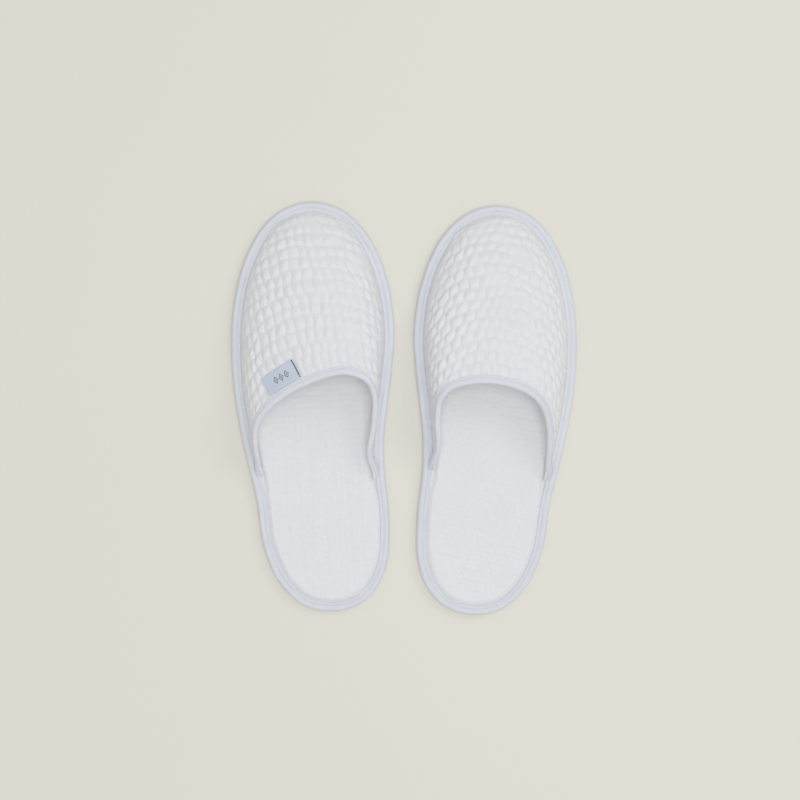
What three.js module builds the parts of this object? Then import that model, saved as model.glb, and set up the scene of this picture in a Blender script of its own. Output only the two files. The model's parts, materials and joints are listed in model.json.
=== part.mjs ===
// A pair of closed-toe, open-heel spa slippers, lying side by side with their toes towards +Y.
// Each slipper is a stitched sandwich: a moulded foam outsole, a fibreboard, a foam pad and a waffle-cloth
// cover, with a padded waffle-cloth upper whose turned-out flange is caught between the cover and the sole's
// edge binding. A second binding finishes the throat, where the foot goes in. Each binding is sewn through by a
// needle thread and a bobbin thread. The left slipper carries a small woven label at its throat.
// Millimetres, +Z up, the tread at z = 0 and the pair centred on the origin.
import * as THREE from "three";

// ---- Sole outline, in a left slipper's own frame: +Y to the toe, -X to the little toe, y = 0 at mid length ----
const soleLength = 285;
const toeTipX = 1;
const heelTipX = 3;
const ball = { lateral: [-57.3, 34], medial: [56.4, 50] }; // widest places of the forefoot
const waist = { lateral: [-53.6, -14], medial: [44.8, -32] }; // narrowest places
const heel = { lateral: [-45.2, -62], medial: [46.2, -82] }; // where the heel's round end starts
const squareness = { toeLateral: 2.1, toeMedial: 2.2, heelLateral: 2.2, heelMedial: 2.38 }; // 2 is an ellipse

// ---- Thicknesses of the layers, from the floor up ----
const outsoleThickness = 3.6;
const boardThickness = 0.8;
const footFoamThickness = 2.4;
const coverThickness = 1.2;
const upperClothThickness = 1.2;
const upperFoamThickness = 1.5;
const liningThickness = 0.5;
const flangeThickness = 0.8; // the upper's cloth, pressed flat inside the binding
const tapeThickness = 0.7;
const threadThickness = 0.48;

// ---- Clearances ----
const glueLine = 0.2; // between glued flat layers
const clothGap = 0.3; // between sewn layers that lie on each other
const threadGap = 0.15; // between a thread and the tape it lies on
const floorGap = 0.1; // under the sole's bobbin thread
const seamGap = 0.1; // more than clothGap, between edges that lie side by side
const leastRise = 0.05; // between one row of a lining or foam and the next, where a wing is low
const labelLift = 0.5; // of the label over the cloth it lies on
const hingeGap = 0.8; // between the label's folded edge and the throat binding

// ---- Edge widths, measured inwards from the sole's outline ----
const soleBindingTop = 5.6; // what shows of the binding from above
const soleBindingUnder = 7.2;
const treadClearance = 0.8; // from the binding's underside to the outsole's thick middle
const foldRoom = 0.7; // between the stacked layers' edges and the inside of the binding's fold
const coverShoulder = 1.4; // width of each step of the cover's rise from its sewn rim to its padded middle
const stitchMargin = 1.6; // from a binding's free edge to its stitches

// ---- Throat ----
const throatBindingWidth = 5;
const foamSkive = 7; // the upper's foam stops this far short of the throat's binding
const wallTilt = { wing: 38, toe: 62 }; // degrees the wall has turned over by when it reaches the throat

// The throat's edge on each slipper: station along the sole, distance in from the feather line, and height above
// the tread. The two were sewn and have settled a little differently.
const throats = {
  left: {
    lateral: [
      { y: -46, lean: 1, z: 12.5 },
      { y: -25, lean: 2.6, z: 26.5 },
      { y: -10, lean: 7.4, z: 34.5 },
      { y: 2.3, lean: 19.7, z: 40 },
      { y: 13.7, lean: 40, z: 45.5 },
    ],
    apex: { x: 20, y: 21.8, z: 48.5 },
    medial: [
      { y: 16.3, lean: 10.4, z: 46 },
      { y: 5, lean: 2.9, z: 41 },
      { y: -16, lean: 0.8, z: 31 },
      { y: -34, lean: 3.2, z: 22 },
      { y: -52, lean: 0.6, z: 12.5 },
    ],
  },
  right: {
    lateral: [
      { y: -46, lean: 0.6, z: 12.5 },
      { y: -30, lean: 3.2, z: 23.5 },
      { y: -10, lean: 8.2, z: 34.5 },
      { y: 5, lean: 16.2, z: 41.5 },
      { y: 14.6, lean: 29.5, z: 45.5 },
    ],
    apex: { x: 5, y: 19.1, z: 48 },
    medial: [
      { y: 13.8, lean: 17.5, z: 45 },
      { y: 5, lean: 8.2, z: 40.5 },
      { y: -9, lean: 4.4, z: 33.5 },
      { y: -26, lean: 3.8, z: 24.5 },
      { y: -44, lean: 1, z: 12.5 },
    ],
  },
};

// ---- Label ----
const label = { length: 26.5, height: 13.5, thickness: 0.8, alongThroat: 76 }; // its middle, from the lateral end

// ---- How the pair lies ----
const pairGap = 14;
const stagger = 2.4; // the left slipper lies this much further forward
const toeOut = { left: 3, right: 3.6 }; // degrees

// ---- Fineness of the faceted solids ----
const upperSteps = 30; // around the toe, from wing to wing
const heelSteps = 16; // around the heel, behind the wings
const wallRows = 4; // up the padded part of the wall
const tipCrowding = 0.4; // how much closer the steps lie at the toe and heel tips
const fan = 0.5; // how much the upper's rises crowd together towards the middle of the throat

// ---- Insets and levels that follow from these sizes ----
const layerInset = tapeThickness + foldRoom; // the stacked layers' edges
const treadInset = soleBindingUnder + treadClearance;
const featherInset = soleBindingTop + clothGap + seamGap; // the line that the upper's wall stands on
const soleStitchInset = soleBindingTop - stitchMargin;
const throatStitchInset = throatBindingWidth - stitchMargin;
const foamStop = throatBindingWidth + foamSkive;
const bindingBase = floorGap + threadThickness + threadGap;
const edgeRebate = bindingBase + tapeThickness + clothGap; // the outsole's edge is cut away up to here
const boardBase = outsoleThickness + glueLine;
const padBase = boardBase + boardThickness + glueLine;
const rimTop = padBase + coverThickness;
const padTop = padBase + footFoamThickness + glueLine;
const coverTop = padTop + coverThickness;
const flangeBase = rimTop + clothGap;
const wallBase = flangeBase + flangeThickness + clothGap;
const bindingTop = wallBase + tapeThickness;
const bindingTopAtHeel = rimTop + clothGap + tapeThickness;
const wallSeat = coverTop + clothGap; // the upper's foam and lining stand on the cover here
const liningDepth = upperClothThickness + clothGap; // where it is pinched into the binding
const paddedLiningDepth = liningDepth + upperFoamThickness + clothGap;

const vec = (x, y, z = 0) => new THREE.Vector3(x, y, z);
const smooth = THREE.MathUtils.smoothstep;
const lerp = THREE.MathUtils.lerp;
const crowd = (share, amount) => share + (amount * Math.sin(2 * Math.PI * share)) / (2 * Math.PI); // to the middle

// ---- The outline as a closed curve, from the heel tip along the lateral side, round the toe and back ----

// A point of a superellipse quarter about [cx, cy]: turn 0 is its side and turn 1 its tip.
function capPoint(cx, [sideX, sideY], tipY, power, turn) {
  const angle = (turn * Math.PI) / 2;
  const across = (sideX - cx) * Math.cos(angle) ** (2 / power);
  return vec(cx + across, sideY + (tipY - sideY) * Math.sin(angle) ** (2 / power));
}

function makeOutline() {
  const toeY = soleLength / 2;
  const turns = [0, 0.25, 0.5, 0.75];
  const back = [...turns].reverse();
  const heelCap = (side, power) => (turn) => capPoint(heelTipX, side, -toeY, power, turn);
  const toeCap = (side, power) => (turn) => capPoint(toeTipX, side, toeY, power, turn);
  const points = [
    vec(heelTipX, -toeY),
    ...back.map(heelCap(heel.lateral, squareness.heelLateral)),
    vec(...waist.lateral),
    ...turns.map(toeCap(ball.lateral, squareness.toeLateral)),
    vec(toeTipX, toeY),
    ...back.map(toeCap(ball.medial, squareness.toeMedial)),
    vec(...waist.medial),
    ...turns.map(heelCap(heel.medial, squareness.heelMedial)),
  ];
  const curve = new THREE.CatmullRomCurve3(points, true, "centripetal");
  curve.arcLengthDivisions = 1200;
  return curve;
}

const outline = makeOutline();

// The outline's point at share t of its length, moved inwards by inset.
function edgePoint(t, inset, z = 0) {
  const tangent = outline.getTangentAt(t);
  const inwards = vec(tangent.y, -tangent.x);
  return outline.getPointAt(t).addScaledVector(inwards, inset).setZ(z);
}

// The share t of the outline at station y on one side, found by halving.
function shareAtStation(side, y) {
  let [low, high] = side === "lateral" ? [0.03, 0.47] : [0.97, 0.53];
  for (let i = 0; i < 40; i++) {
    const middle = (low + high) / 2;
    if (edgePoint(middle, featherInset).y < y) low = middle;
    else high = middle;
  }
  return low;
}

// ---- Solids lofted through closed loops of points ----

function newellNormal(loop) {
  const normal = vec(0, 0, 0);
  loop.forEach((p, i) => {
    const q = loop[(i + 1) % loop.length];
    normal.x += (p.y - q.y) * (p.z + q.z);
    normal.y += (p.z - q.z) * (p.x + q.x);
    normal.z += (p.x - q.x) * (p.y + q.y);
  });
  return normal.normalize();
}

function capFaces(loop) {
  const normal = newellNormal(loop);
  const across = loop[1].clone().sub(loop[0]).projectOnPlane(normal).normalize();
  const up = normal.clone().cross(across);
  const flat = loop.map((p) => new THREE.Vector2(p.dot(across), p.dot(up)));
  return THREE.ShapeUtils.triangulateShape(flat, []);
}

// Joins each loop to the next; the ends are capped, or joined to each other where the loft is a ring. Every
// quad is split along its shorter diagonal, so that parallel layers are split alike.
function loft(loops, ring = false) {
  const count = loops[0].length;
  const at = (i) => loops[Math.floor(i / count)][i % count];
  const positions = loops.flat().flatMap((p) => p.toArray());
  const faces = [];
  for (let i = 0; i < loops.length - (ring ? 0 : 1); i++) {
    const a = i * count;
    const b = ((i + 1) % loops.length) * count;
    for (let k = 0; k < count; k++) {
      const n = (k + 1) % count;
      const falling = at(a + k).distanceTo(at(b + n)) < at(a + n).distanceTo(at(b + k));
      if (falling) faces.push([a + k, b + k, b + n], [a + k, b + n, a + n]);
      else faces.push([a + k, b + k, a + n], [b + k, b + n, a + n]);
    }
  }
  if (!ring) {
    const last = (loops.length - 1) * count;
    faces.push(...capFaces(loops[0]));
    faces.push(...capFaces(loops.at(-1)).map(([p, q, r]) => [last + p, last + r, last + q]));
  }
  return outwardFacing(positions, faces);
}

// Six times the volume, which is negative where the faces point inwards.
function signedVolume(positions, faces) {
  const at = (i) => vec(positions[3 * i], positions[3 * i + 1], positions[3 * i + 2]);
  return faces.reduce((sum, [p, q, r]) => sum + at(p).dot(at(q).cross(at(r))), 0);
}

function outwardFacing(positions, faces) {
  const kept = signedVolume(positions, faces) < 0 ? faces.map(([p, q, r]) => [p, r, q]) : faces;
  const geometry = new THREE.BufferGeometry();
  geometry.setAttribute("position", new THREE.Float32BufferAttribute(positions, 3));
  geometry.setIndex(kept.flat());
  geometry.computeVertexNormals();
  return geometry;
}

// ---- The sole: plates and rings that follow the outline ----

const aroundUpper = (i) => crowd(i / upperSteps, tipCrowding);
const aroundHeel = (i) => crowd(i / heelSteps, tipCrowding);

// The shares of the outline that every piece is built on, so that their facets lie parallel.
function outlineShares(throat) {
  const start = shareAtStation("lateral", throat.lateral[0].y);
  const end = shareAtStation("medial", throat.medial.at(-1).y);
  const shares = [];
  for (let i = 0; i < upperSteps; i++) shares.push(lerp(start, end, aroundUpper(i)));
  for (let i = 0; i < heelSteps; i++) shares.push(lerp(end, 1 + start, aroundHeel(i)) % 1);
  return shares;
}

// A plate whose edge is a stack of [inset, z] levels, from its underside to its top.
function plate(shares, levels) {
  return loft(levels.map(([inset, z]) => shares.map((t) => edgePoint(t, inset, z))));
}

// A plain sheet cut to the outline.
function cutSheet(shares, inset, base, thickness) {
  const shape = new THREE.Shape(shares.map((t) => edgePoint(t, inset)));
  const sheet = new THREE.ExtrudeGeometry(shape, { depth: thickness, bevelEnabled: false });
  return sheet.translate(0, 0, base);
}

// 0 beside the upper, where its flange lies inside the binding, and 1 round the heel, where it doesn't.
function behindWings(index) {
  const past = Math.min(index - upperSteps, upperSteps + heelSteps - index);
  return index < upperSteps ? 0 : smooth(past, 1, 3);
}

const bindingTopAt = (index) => lerp(bindingTop, bindingTopAtHeel, behindWings(index));

// The folded tape round the sole's edge, as [inset, z] corners of its section.
function soleBindingLoop(t, index) {
  const top = bindingTopAt(index);
  const fold = 1.1; // how far the tape's two folds are rounded
  return [
    [soleBindingTop, top],
    [fold, top],
    [0, top - fold],
    [0, bindingBase + fold],
    [fold, bindingBase],
    [soleBindingUnder, bindingBase],
    [soleBindingUnder, bindingBase + tapeThickness],
    [tapeThickness, bindingBase + tapeThickness],
    [tapeThickness, top - tapeThickness],
    [soleBindingTop, top - tapeThickness],
  ].map(([inset, z]) => edgePoint(t, inset, z));
}

// A thread that runs round the sole, as a ring of square section standing on its corner.
function soleThreadLoop(t, height) {
  const r = threadThickness / 2;
  const corners = [[-r, 0], [0, r], [r, 0], [0, -r]];
  return corners.map(([across, up]) => edgePoint(t, soleStitchInset + across, height + up));
}

// ---- The upper: a wall that rises from the feather line and turns over towards the throat ----

// The throat's edge as a curve from the lateral wing to the medial one.
function throatCurve(throat) {
  const onSide = (side, sign) => ({ y, lean, z }) => {
    const foot = edgePoint(shareAtStation(side, y), featherInset);
    return vec(foot.x + sign * lean, y, z);
  };
  const points = [
    ...throat.lateral.map(onSide("lateral", 1)),
    vec(throat.apex.x, throat.apex.y, throat.apex.z),
    ...throat.medial.map(onSide("medial", -1)),
  ];
  return new THREE.CatmullRomCurve3(points, false, "centripetal");
}

// The outer surface: around is 0 at the lateral wing, about 0.5 at the toe and 1 at the medial wing, and up is 0
// at the feather line and 1 at the throat. Each rise is part of an ellipse, upright where it starts.
function makeSurface(throat) {
  const start = shareAtStation("lateral", throat.lateral[0].y);
  const end = shareAtStation("medial", throat.medial.at(-1).y);
  const curve = throatCurve(throat);
  return (around, up) => {
    const foot = edgePoint(lerp(start, end, around), featherInset, wallBase);
    const rim = curve.getPointAt(THREE.MathUtils.clamp(crowd(around, fan), 0, 1));
    const tilt = lerp(wallTilt.wing, wallTilt.toe, Math.sin(Math.PI * around) ** 2);
    const full = THREE.MathUtils.degToRad(tilt);
    const inShare = (1 - Math.cos(full * up)) / (1 - Math.cos(full));
    const upShare = Math.sin(full * up) / Math.sin(full);
    return vec(lerp(foot.x, rim.x, inShare), lerp(foot.y, rim.y, inShare), lerp(foot.z, rim.z, upShare));
  };
}

// A point of the surface with its outward normal and the direction that leads up to the throat.
function surfaceFrame(surface, around, up) {
  const step = 1e-3;
  const [a0, a1] = [Math.max(0, around - step), Math.min(1, around + step)];
  const [u0, u1] = [Math.max(0, up - step), Math.min(1, up + step)];
  const along = surface(a1, up).sub(surface(a0, up));
  const rise = surface(around, u1).sub(surface(around, u0)).normalize();
  const normal = rise.clone().cross(along).normalize();
  return { point: surface(around, up), normal, rise };
}

// The heights, as values of up, that all layers of the upper share at one place around it, and its length there.
function wallStations(surface, around) {
  const samples = 60;
  const lengths = [0];
  const heights = [surface(around, 0).z];
  for (let i = 1; i <= samples; i++) {
    const p = surface(around, i / samples);
    lengths.push(lengths[i - 1] + p.distanceTo(surface(around, (i - 1) / samples)));
    heights.push(p.z);
  }
  const find = (list, value) => {
    const i = Math.min(Math.max(list.findIndex((v) => v >= value), 1), samples);
    return (i - 1 + (value - list[i - 1]) / (list[i] - list[i - 1])) / samples;
  };
  const whole = lengths[samples];
  const fromThroat = (distance) => find(lengths, whole - distance);
  const seat = find(heights, wallSeat);
  const foamTop = fromThroat(Math.min(foamStop, 0.6 * whole));
  const legShare = 0.45; // a short wing gets a shorter binding
  const leg = fromThroat(Math.min(throatBindingWidth, legShare * whole));
  const stitch = fromThroat(Math.min(throatStitchInset, legShare * 0.6 * whole));
  const rows = [];
  for (let k = 0; k <= wallRows; k++) rows.push(lerp(seat, foamTop, k / wallRows));
  return { rows, leg, stitch };
}

// What every layer of the upper needs to know at each step around it.
function upperStations(surface, shares) {
  return shares.slice(0, upperSteps + 1).map((t, i) => {
    const around = aroundUpper(i);
    const frame = (up) => surfaceFrame(surface, around, up);
    return { t, frame, padded: i >= 2 && i <= upperSteps - 2, ...wallStations(surface, around) };
  });
}

// A point at some depth under the surface.
const under = ({ point, normal }, depth) => point.clone().addScaledVector(normal, -depth);

// The same for a row of a piece that stands on the seat, which never dips below it.
function seated(frame, depth, row) {
  const p = under(frame, depth);
  return p.setZ(Math.max(p.z, wallSeat + row * leastRise));
}

const liningDepthAt = (station, row) => (station.padded && row <= wallRows ? paddedLiningDepth : liningDepth);

// The outer cloth: a flange inside the sole's binding, and the wall up to the throat.
function upperClothLoop(station) {
  const { t, frame, rows, leg } = station;
  const ups = [0, ...rows, leg, 1];
  const turn = 0.4; // the flange's rounded corner
  const outside = ups.map((up) => under(frame(up), 0));
  const inside = ups.map((up) => under(frame(up), upperClothThickness)).reverse();
  return [
    edgePoint(t, layerInset, flangeBase + flangeThickness),
    edgePoint(t, featherInset - turn, flangeBase + flangeThickness),
    ...outside,
    ...inside,
    edgePoint(t, featherInset + upperClothThickness - turn, flangeBase),
    edgePoint(t, layerInset, flangeBase),
  ];
}

// The foam between the cloth and the lining.
function upperFoamLoop({ frame, rows }) {
  const depth = upperClothThickness + clothGap;
  const skin = (extra) => rows.map((up, row) => seated(frame(up), depth + extra, row));
  return [...skin(0), ...skin(upperFoamThickness).reverse()];
}

// The lining, deep behind the foam and pinched up to the cloth inside the throat's binding.
function liningLoop(station) {
  const ups = [...station.rows, station.leg, 1];
  const skin = (extra) =>
    ups.map((up, row) => seated(station.frame(up), liningDepthAt(station, row) + extra, row));
  return [...skin(0), ...skin(liningThickness).reverse()];
}

// The folded tape over the throat's edge. Its two folds stand clear of the cloth by clothGap.
function throatBindingLoop({ frame, leg }) {
  const rim = frame(1);
  const low = frame(leg);
  const stack = liningDepth + liningThickness;
  const inner = -clothGap;
  const outer = -clothGap - tapeThickness;
  const past = (depth, beyond) => under(rim, depth).addScaledVector(rim.rise, beyond);
  const fold = 0.5;
  return [
    under(low, outer),
    past(outer, 0),
    past(outer + fold, -outer - fold / 2),
    past(stack - outer - fold, -outer - fold / 2),
    past(stack - outer, 0),
    under(low, stack - outer),
    under(low, stack - inner),
    past(stack - inner, -inner),
    past(inner, -inner),
    under(low, inner),
  ];
}

// A thread along the throat, on the outer or the inner side of its binding.
function throatThreadLoop({ frame, stitch }, outerSide) {
  const reach = clothGap + tapeThickness + threadGap + threadThickness / 2;
  const depth = outerSide ? -reach : liningDepth + liningThickness + reach;
  const middle = frame(stitch);
  const r = threadThickness / 2;
  const corners = [[-r, 0], [0, r], [r, 0], [0, -r]];
  return corners.map(([across, up]) => under(middle, depth - up).addScaledVector(middle.rise, across));
}

// ---- Materials ----
const finish = (color, roughness) => new THREE.MeshStandardMaterial({ color, roughness, metalness: 0 });
const waffleCloth = finish(0xf1f1f0, 0.95);
const bindingTape = finish(0xe7e9f1, 0.85);
const sewingThread = finish(0xeceef4, 0.7);
const liningCloth = finish(0xeeeeec, 0.95);
const paddingFoam = finish(0xf3efdf, 0.95);
const fibreboard = finish(0xb9a583, 0.9);
const soleFoam = finish(0xececea, 0.8);
const labelSatin = finish(0xb9c0d4, 0.6);

function addPiece(group, name, geometry, material) {
  const mesh = new THREE.Mesh(geometry, material);
  mesh.name = name;
  group.add(mesh);
  return mesh;
}

// ---- One slipper's sole ----
function addSole(group, side, shares) {
  const outsoleLevels = [
    [treadInset, 0],
    [treadInset, edgeRebate],
    [layerInset, edgeRebate],
    [layerInset, outsoleThickness],
  ];
  const rise = featherInset + upperClothThickness + clothGap + seamGap; // the cover's rim ends clear of the wall
  const coverLevels = [
    [rise + 2 * coverShoulder, padTop],
    [rise + coverShoulder, padBase],
    [layerInset, padBase],
    [layerInset, rimTop],
    [rise, rimTop],
    [rise + coverShoulder, coverTop],
  ];
  const padInset = rise + 2 * coverShoulder + clothGap;
  const topThread = (i) => bindingTopAt(i) + threadGap + threadThickness / 2;
  const underThread = bindingBase - threadGap - threadThickness / 2;
  addPiece(group, `${side}_outsole`, plate(shares, outsoleLevels), soleFoam);
  addPiece(group, `${side}_insole_board`, cutSheet(shares, layerInset, boardBase, boardThickness), fibreboard);
  addPiece(group, `${side}_insole_foam`, cutSheet(shares, padInset, padBase, footFoamThickness), paddingFoam);
  addPiece(group, `${side}_insole_cover`, plate(shares, coverLevels), waffleCloth);
  addPiece(group, `${side}_sole_binding`, loft(shares.map(soleBindingLoop), true), bindingTape);
  const needle = shares.map((t, i) => soleThreadLoop(t, topThread(i)));
  const bobbin = shares.map((t) => soleThreadLoop(t, underThread));
  addPiece(group, `${side}_sole_needle_thread`, loft(needle, true), sewingThread);
  addPiece(group, `${side}_sole_bobbin_thread`, loft(bobbin, true), sewingThread);
}

// ---- One slipper's upper ----
function addUpper(group, side, stations) {
  const padded = stations.filter((station) => station.padded);
  const outerThread = stations.map((station) => throatThreadLoop(station, true));
  const innerThread = stations.map((station) => throatThreadLoop(station, false));
  addPiece(group, `${side}_upper_cloth`, loft(stations.map(upperClothLoop)), waffleCloth);
  addPiece(group, `${side}_upper_foam`, loft(padded.map(upperFoamLoop)), paddingFoam);
  addPiece(group, `${side}_upper_lining`, loft(stations.map(liningLoop)), liningCloth);
  addPiece(group, `${side}_throat_binding`, loft(stations.map(throatBindingLoop)), bindingTape);
  addPiece(group, `${side}_throat_needle_thread`, loft(outerThread), sewingThread);
  addPiece(group, `${side}_throat_bobbin_thread`, loft(innerThread), sewingThread);
}

// ---- The woven label, lying on the upper with its sewn edge along the throat's binding ----

// The surface at the label's middle: where it is, its outward normal and the directions along and away from the
// throat.
function labelSeat(throat, surface) {
  const curve = throatCurve(throat);
  const share = label.alongThroat / curve.getLength();
  let around = share;
  for (let i = 0; i < 30; i++) around += share - crowd(around, fan);
  const rim = surface(around, 1);
  const reach = throatBindingWidth + hingeGap + label.height / 2;
  let up = 1;
  while (up > 0 && surface(around, up).distanceTo(rim) < reach) up -= 0.002;
  const { point, normal } = surfaceFrame(surface, around, up);
  const along = curve.getTangentAt(share).projectOnPlane(normal).normalize();
  return { point, normal, along, away: normal.clone().cross(along) };
}

// A thin sheet that follows the cloth it lies on: each of its corners is dropped onto the cloth along the
// normal at the label's middle.
function addLabel(group, throat, surface, cloth) {
  const { point, normal, along, away } = labelSeat(throat, surface);
  const dropFrom = 20; // well clear of the cloth
  const steps = { along: 6, away: 3 };
  const lie = (i, k, lift) => {
    const start = point.clone().addScaledVector(normal, dropFrom);
    start.addScaledVector(along, (i / steps.along - 0.5) * label.length);
    start.addScaledVector(away, (k / steps.away - 0.5) * label.height);
    const [hit] = new THREE.Raycaster(start, normal.clone().negate()).intersectObject(cloth);
    return hit.point.addScaledVector(normal, lift);
  };
  const loops = [];
  for (let i = 0; i <= steps.along; i++) {
    const row = (lift) => Array.from({ length: steps.away + 1 }, (_, k) => lie(i, k, lift));
    loops.push([...row(labelLift), ...row(labelLift + label.thickness).reverse()]);
  }
  addPiece(group, "left_woven_label", loft(loops), labelSatin);
}

function makeSlipper(side) {
  const group = new THREE.Group();
  const throat = throats[side];
  const shares = outlineShares(throat);
  const surface = makeSurface(throat);
  addSole(group, side, shares);
  addUpper(group, side, upperStations(surface, shares));
  if (side === "left") addLabel(group, throat, surface, group.getObjectByName("left_upper_cloth"));
  return group;
}

// ---- The pair: the right slipper is made as a left one and mirrored ----
const boxOf = (object) => new THREE.Box3().setFromObject(object, true);

const leftSlipper = makeSlipper("left");
leftSlipper.rotation.z = THREE.MathUtils.degToRad(toeOut.left);
leftSlipper.position.set(-pairGap / 2 - boxOf(leftSlipper).max.x, stagger / 2, 0);

const rightSlipper = makeSlipper("right");
rightSlipper.scale.x = -1;
rightSlipper.rotation.z = -THREE.MathUtils.degToRad(toeOut.right);
rightSlipper.position.set(pairGap / 2 - boxOf(rightSlipper).min.x, -stagger / 2, 0);

const pair = new THREE.Group();
pair.add(leftSlipper, rightSlipper);
const middle = boxOf(pair).getCenter(vec(0, 0));
pair.position.set(-middle.x, -middle.y, 0);

export default pair;
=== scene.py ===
# %% [markdown]
# # A pair of spa slippers
# Two padded waffle-cloth slippers lie side by side on a pale floor. Every soft surface here is worked
# out with numpy as a grid of points: a shape is a function of two parameters, or a profile carried
# along a seam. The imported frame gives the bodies, the boxes of the solid parts and the places that
# everything has to keep to.

# %% Load the frame
import json

import bmesh
import bpy
import numpy as np
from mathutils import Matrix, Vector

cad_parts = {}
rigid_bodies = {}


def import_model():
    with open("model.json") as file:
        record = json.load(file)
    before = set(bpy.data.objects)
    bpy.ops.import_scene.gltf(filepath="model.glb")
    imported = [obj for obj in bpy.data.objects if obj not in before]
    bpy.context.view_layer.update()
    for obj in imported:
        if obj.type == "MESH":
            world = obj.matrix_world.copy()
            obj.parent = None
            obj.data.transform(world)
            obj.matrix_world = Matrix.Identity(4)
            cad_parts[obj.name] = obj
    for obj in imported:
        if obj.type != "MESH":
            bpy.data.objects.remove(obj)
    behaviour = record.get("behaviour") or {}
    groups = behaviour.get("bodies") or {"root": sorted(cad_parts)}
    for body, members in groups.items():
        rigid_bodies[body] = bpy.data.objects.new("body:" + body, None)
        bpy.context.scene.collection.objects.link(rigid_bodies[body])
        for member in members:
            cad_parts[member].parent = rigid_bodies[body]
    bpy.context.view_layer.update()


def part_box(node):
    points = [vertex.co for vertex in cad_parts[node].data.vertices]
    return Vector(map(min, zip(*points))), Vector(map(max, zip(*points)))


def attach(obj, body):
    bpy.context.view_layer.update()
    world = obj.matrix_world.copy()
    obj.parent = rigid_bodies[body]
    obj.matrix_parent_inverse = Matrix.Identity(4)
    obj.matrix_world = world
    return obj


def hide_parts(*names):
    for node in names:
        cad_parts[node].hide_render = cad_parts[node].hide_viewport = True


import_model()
MM = 0.001

# %% [markdown]
# ## Sizes
# A slipper is drawn in its own frame, in millimetres: +Y to the toe, -X to the little toe, y = 0 at mid
# length. The left one is drawn, and the right one is its mirror image with a throat of its own. Heights
# come from the boxes of the frame's solids, so the cloth always sits where the solid parts are.

# %% Sizes of the slipper
SOLE_LENGTH = 285
TOE_TIP_X, HEEL_TIP_X = 1, 3
BALL = {"lateral": (-57.3, 34), "medial": (56.4, 50)}
WAIST = {"lateral": (-53.6, -14), "medial": (44.8, -32)}
HEEL = {"lateral": (-45.2, -62), "medial": (46.2, -82)}
SQUARENESS = {"toe_lateral": 2.1, "toe_medial": 2.2, "heel_lateral": 2.2, "heel_medial": 2.38}
FEATHER_INSET = 6  # the line that the upper stands on
LAYER_INSET = 1.4
TREAD_INSET = 8
SOLE_STITCH_INSET = 4
THROAT_BINDING_WIDTH = 5
CLOTH, FOAM, LINING, TAPE, GAP = 1.2, 1.5, 0.5, 0.7, 0.3
TOE_OUT = {"left": 3.0, "right": -3.6}  # degrees
# Each throat's edge: (station y, distance in from the feather line, height), lateral end first.
THROATS = {
    "left": {
        "lateral": [(-46, 1, 9.8), (-25, 2.6, 26.5), (-10, 7.4, 34.5), (2.3, 19.7, 40), (13.7, 40, 45.5)],
        "apex": (20, 21.8, 48.5),
        "medial": [(16.3, 10.4, 46), (5, 2.9, 41), (-16, 0.8, 31), (-34, 3.2, 22), (-52, 0.6, 9.8)],
    },
    "right": {
        "lateral": [(-46, 0.6, 9.8), (-30, 3.2, 23.5), (-10, 8.2, 34.5), (5, 16.2, 41.5), (14.6, 29.5, 45.5)],
        "apex": (5, 19.1, 48),
        "medial": [(13.8, 17.5, 45), (5, 8.2, 40.5), (-9, 4.4, 33.5), (-26, 3.8, 24.5), (-44, 1, 9.8)],
    },
}


def height_range(node):
    """The lowest and highest z of a solid part, in millimetres."""
    low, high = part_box(node)
    return low.z / MM, high.z / MM


OUTSOLE_TOP = height_range("left_outsole")[1]
BINDING_BASE, BINDING_TOP = height_range("left_sole_binding")
PAD_BASE, COVER_TOP = height_range("left_insole_cover")
RIM_TOP = PAD_BASE + CLOTH
FLANGE_BASE = RIM_TOP + GAP
WALL_BASE = BINDING_TOP - TAPE
BINDING_TOP_AT_HEEL = RIM_TOP + GAP + TAPE
print(f"binding {BINDING_BASE:.2f} to {BINDING_TOP:.2f} mm, cover {PAD_BASE:.2f} to {COVER_TOP:.2f} mm")

# %% [markdown]
# ## The sole's outline
# The sole is cut to one closed curve. Its toe and heel are quarter superellipses, and its waist is a
# pair of points. A centripetal Catmull-Rom curve runs through them, which never overshoots. It is kept
# as a long table, and every piece below asks it for a point at some share of its length, moved inwards
# by some inset.

# %% The sole's outline


def smooth_curve(points, closed, per_span=240):
    """Each span is a cubic in s: it joins two points, with end slopes taken from their neighbours,
    weighted by the square root of the distances between them."""
    p = np.asarray(points, float)
    before = p[-1:] if closed else 2 * p[:1] - p[1:2]
    after = p[:2] if closed else 2 * p[-1:] - p[-2:-1]
    ring = np.vstack([before, p, after])
    a, b, c, d = ring[:-3], ring[1:-2], ring[2:-1], ring[3:]
    ab, bc, cd = (np.linalg.norm(r - q, axis=1, keepdims=True) ** 0.5 for q, r in ((a, b), (b, c), (c, d)))
    slope_b = ((b - a) / ab - (c - a) / (ab + bc) + (c - b) / bc) * bc
    slope_c = ((c - b) / bc - (d - b) / (bc + cd) + (d - c) / cd) * bc
    s = (np.arange(per_span) / per_span)[None, :, None]
    b, c, slope_b, slope_c = (q[:, None] for q in (b, c, slope_b, slope_c))
    line = (2 * s**3 - 3 * s**2 + 1) * b + (s**3 - 2 * s**2 + s) * slope_b
    line = line + (3 * s**2 - 2 * s**3) * c + (s**3 - s**2) * slope_c
    line = line.reshape(-1, p.shape[1])
    return np.vstack([line, p[:1] if closed else p[-1:]])


def evenly(line, count):
    """The same line at `count` points, evenly spaced along its length, and that length."""
    steps = np.linalg.norm(np.diff(line, axis=0), axis=1)
    run = np.concatenate([[0], np.cumsum(steps)])
    at = np.linspace(0, run[-1], count)
    return np.stack([np.interp(at, run, axis) for axis in line.T], axis=1), run[-1]


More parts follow.
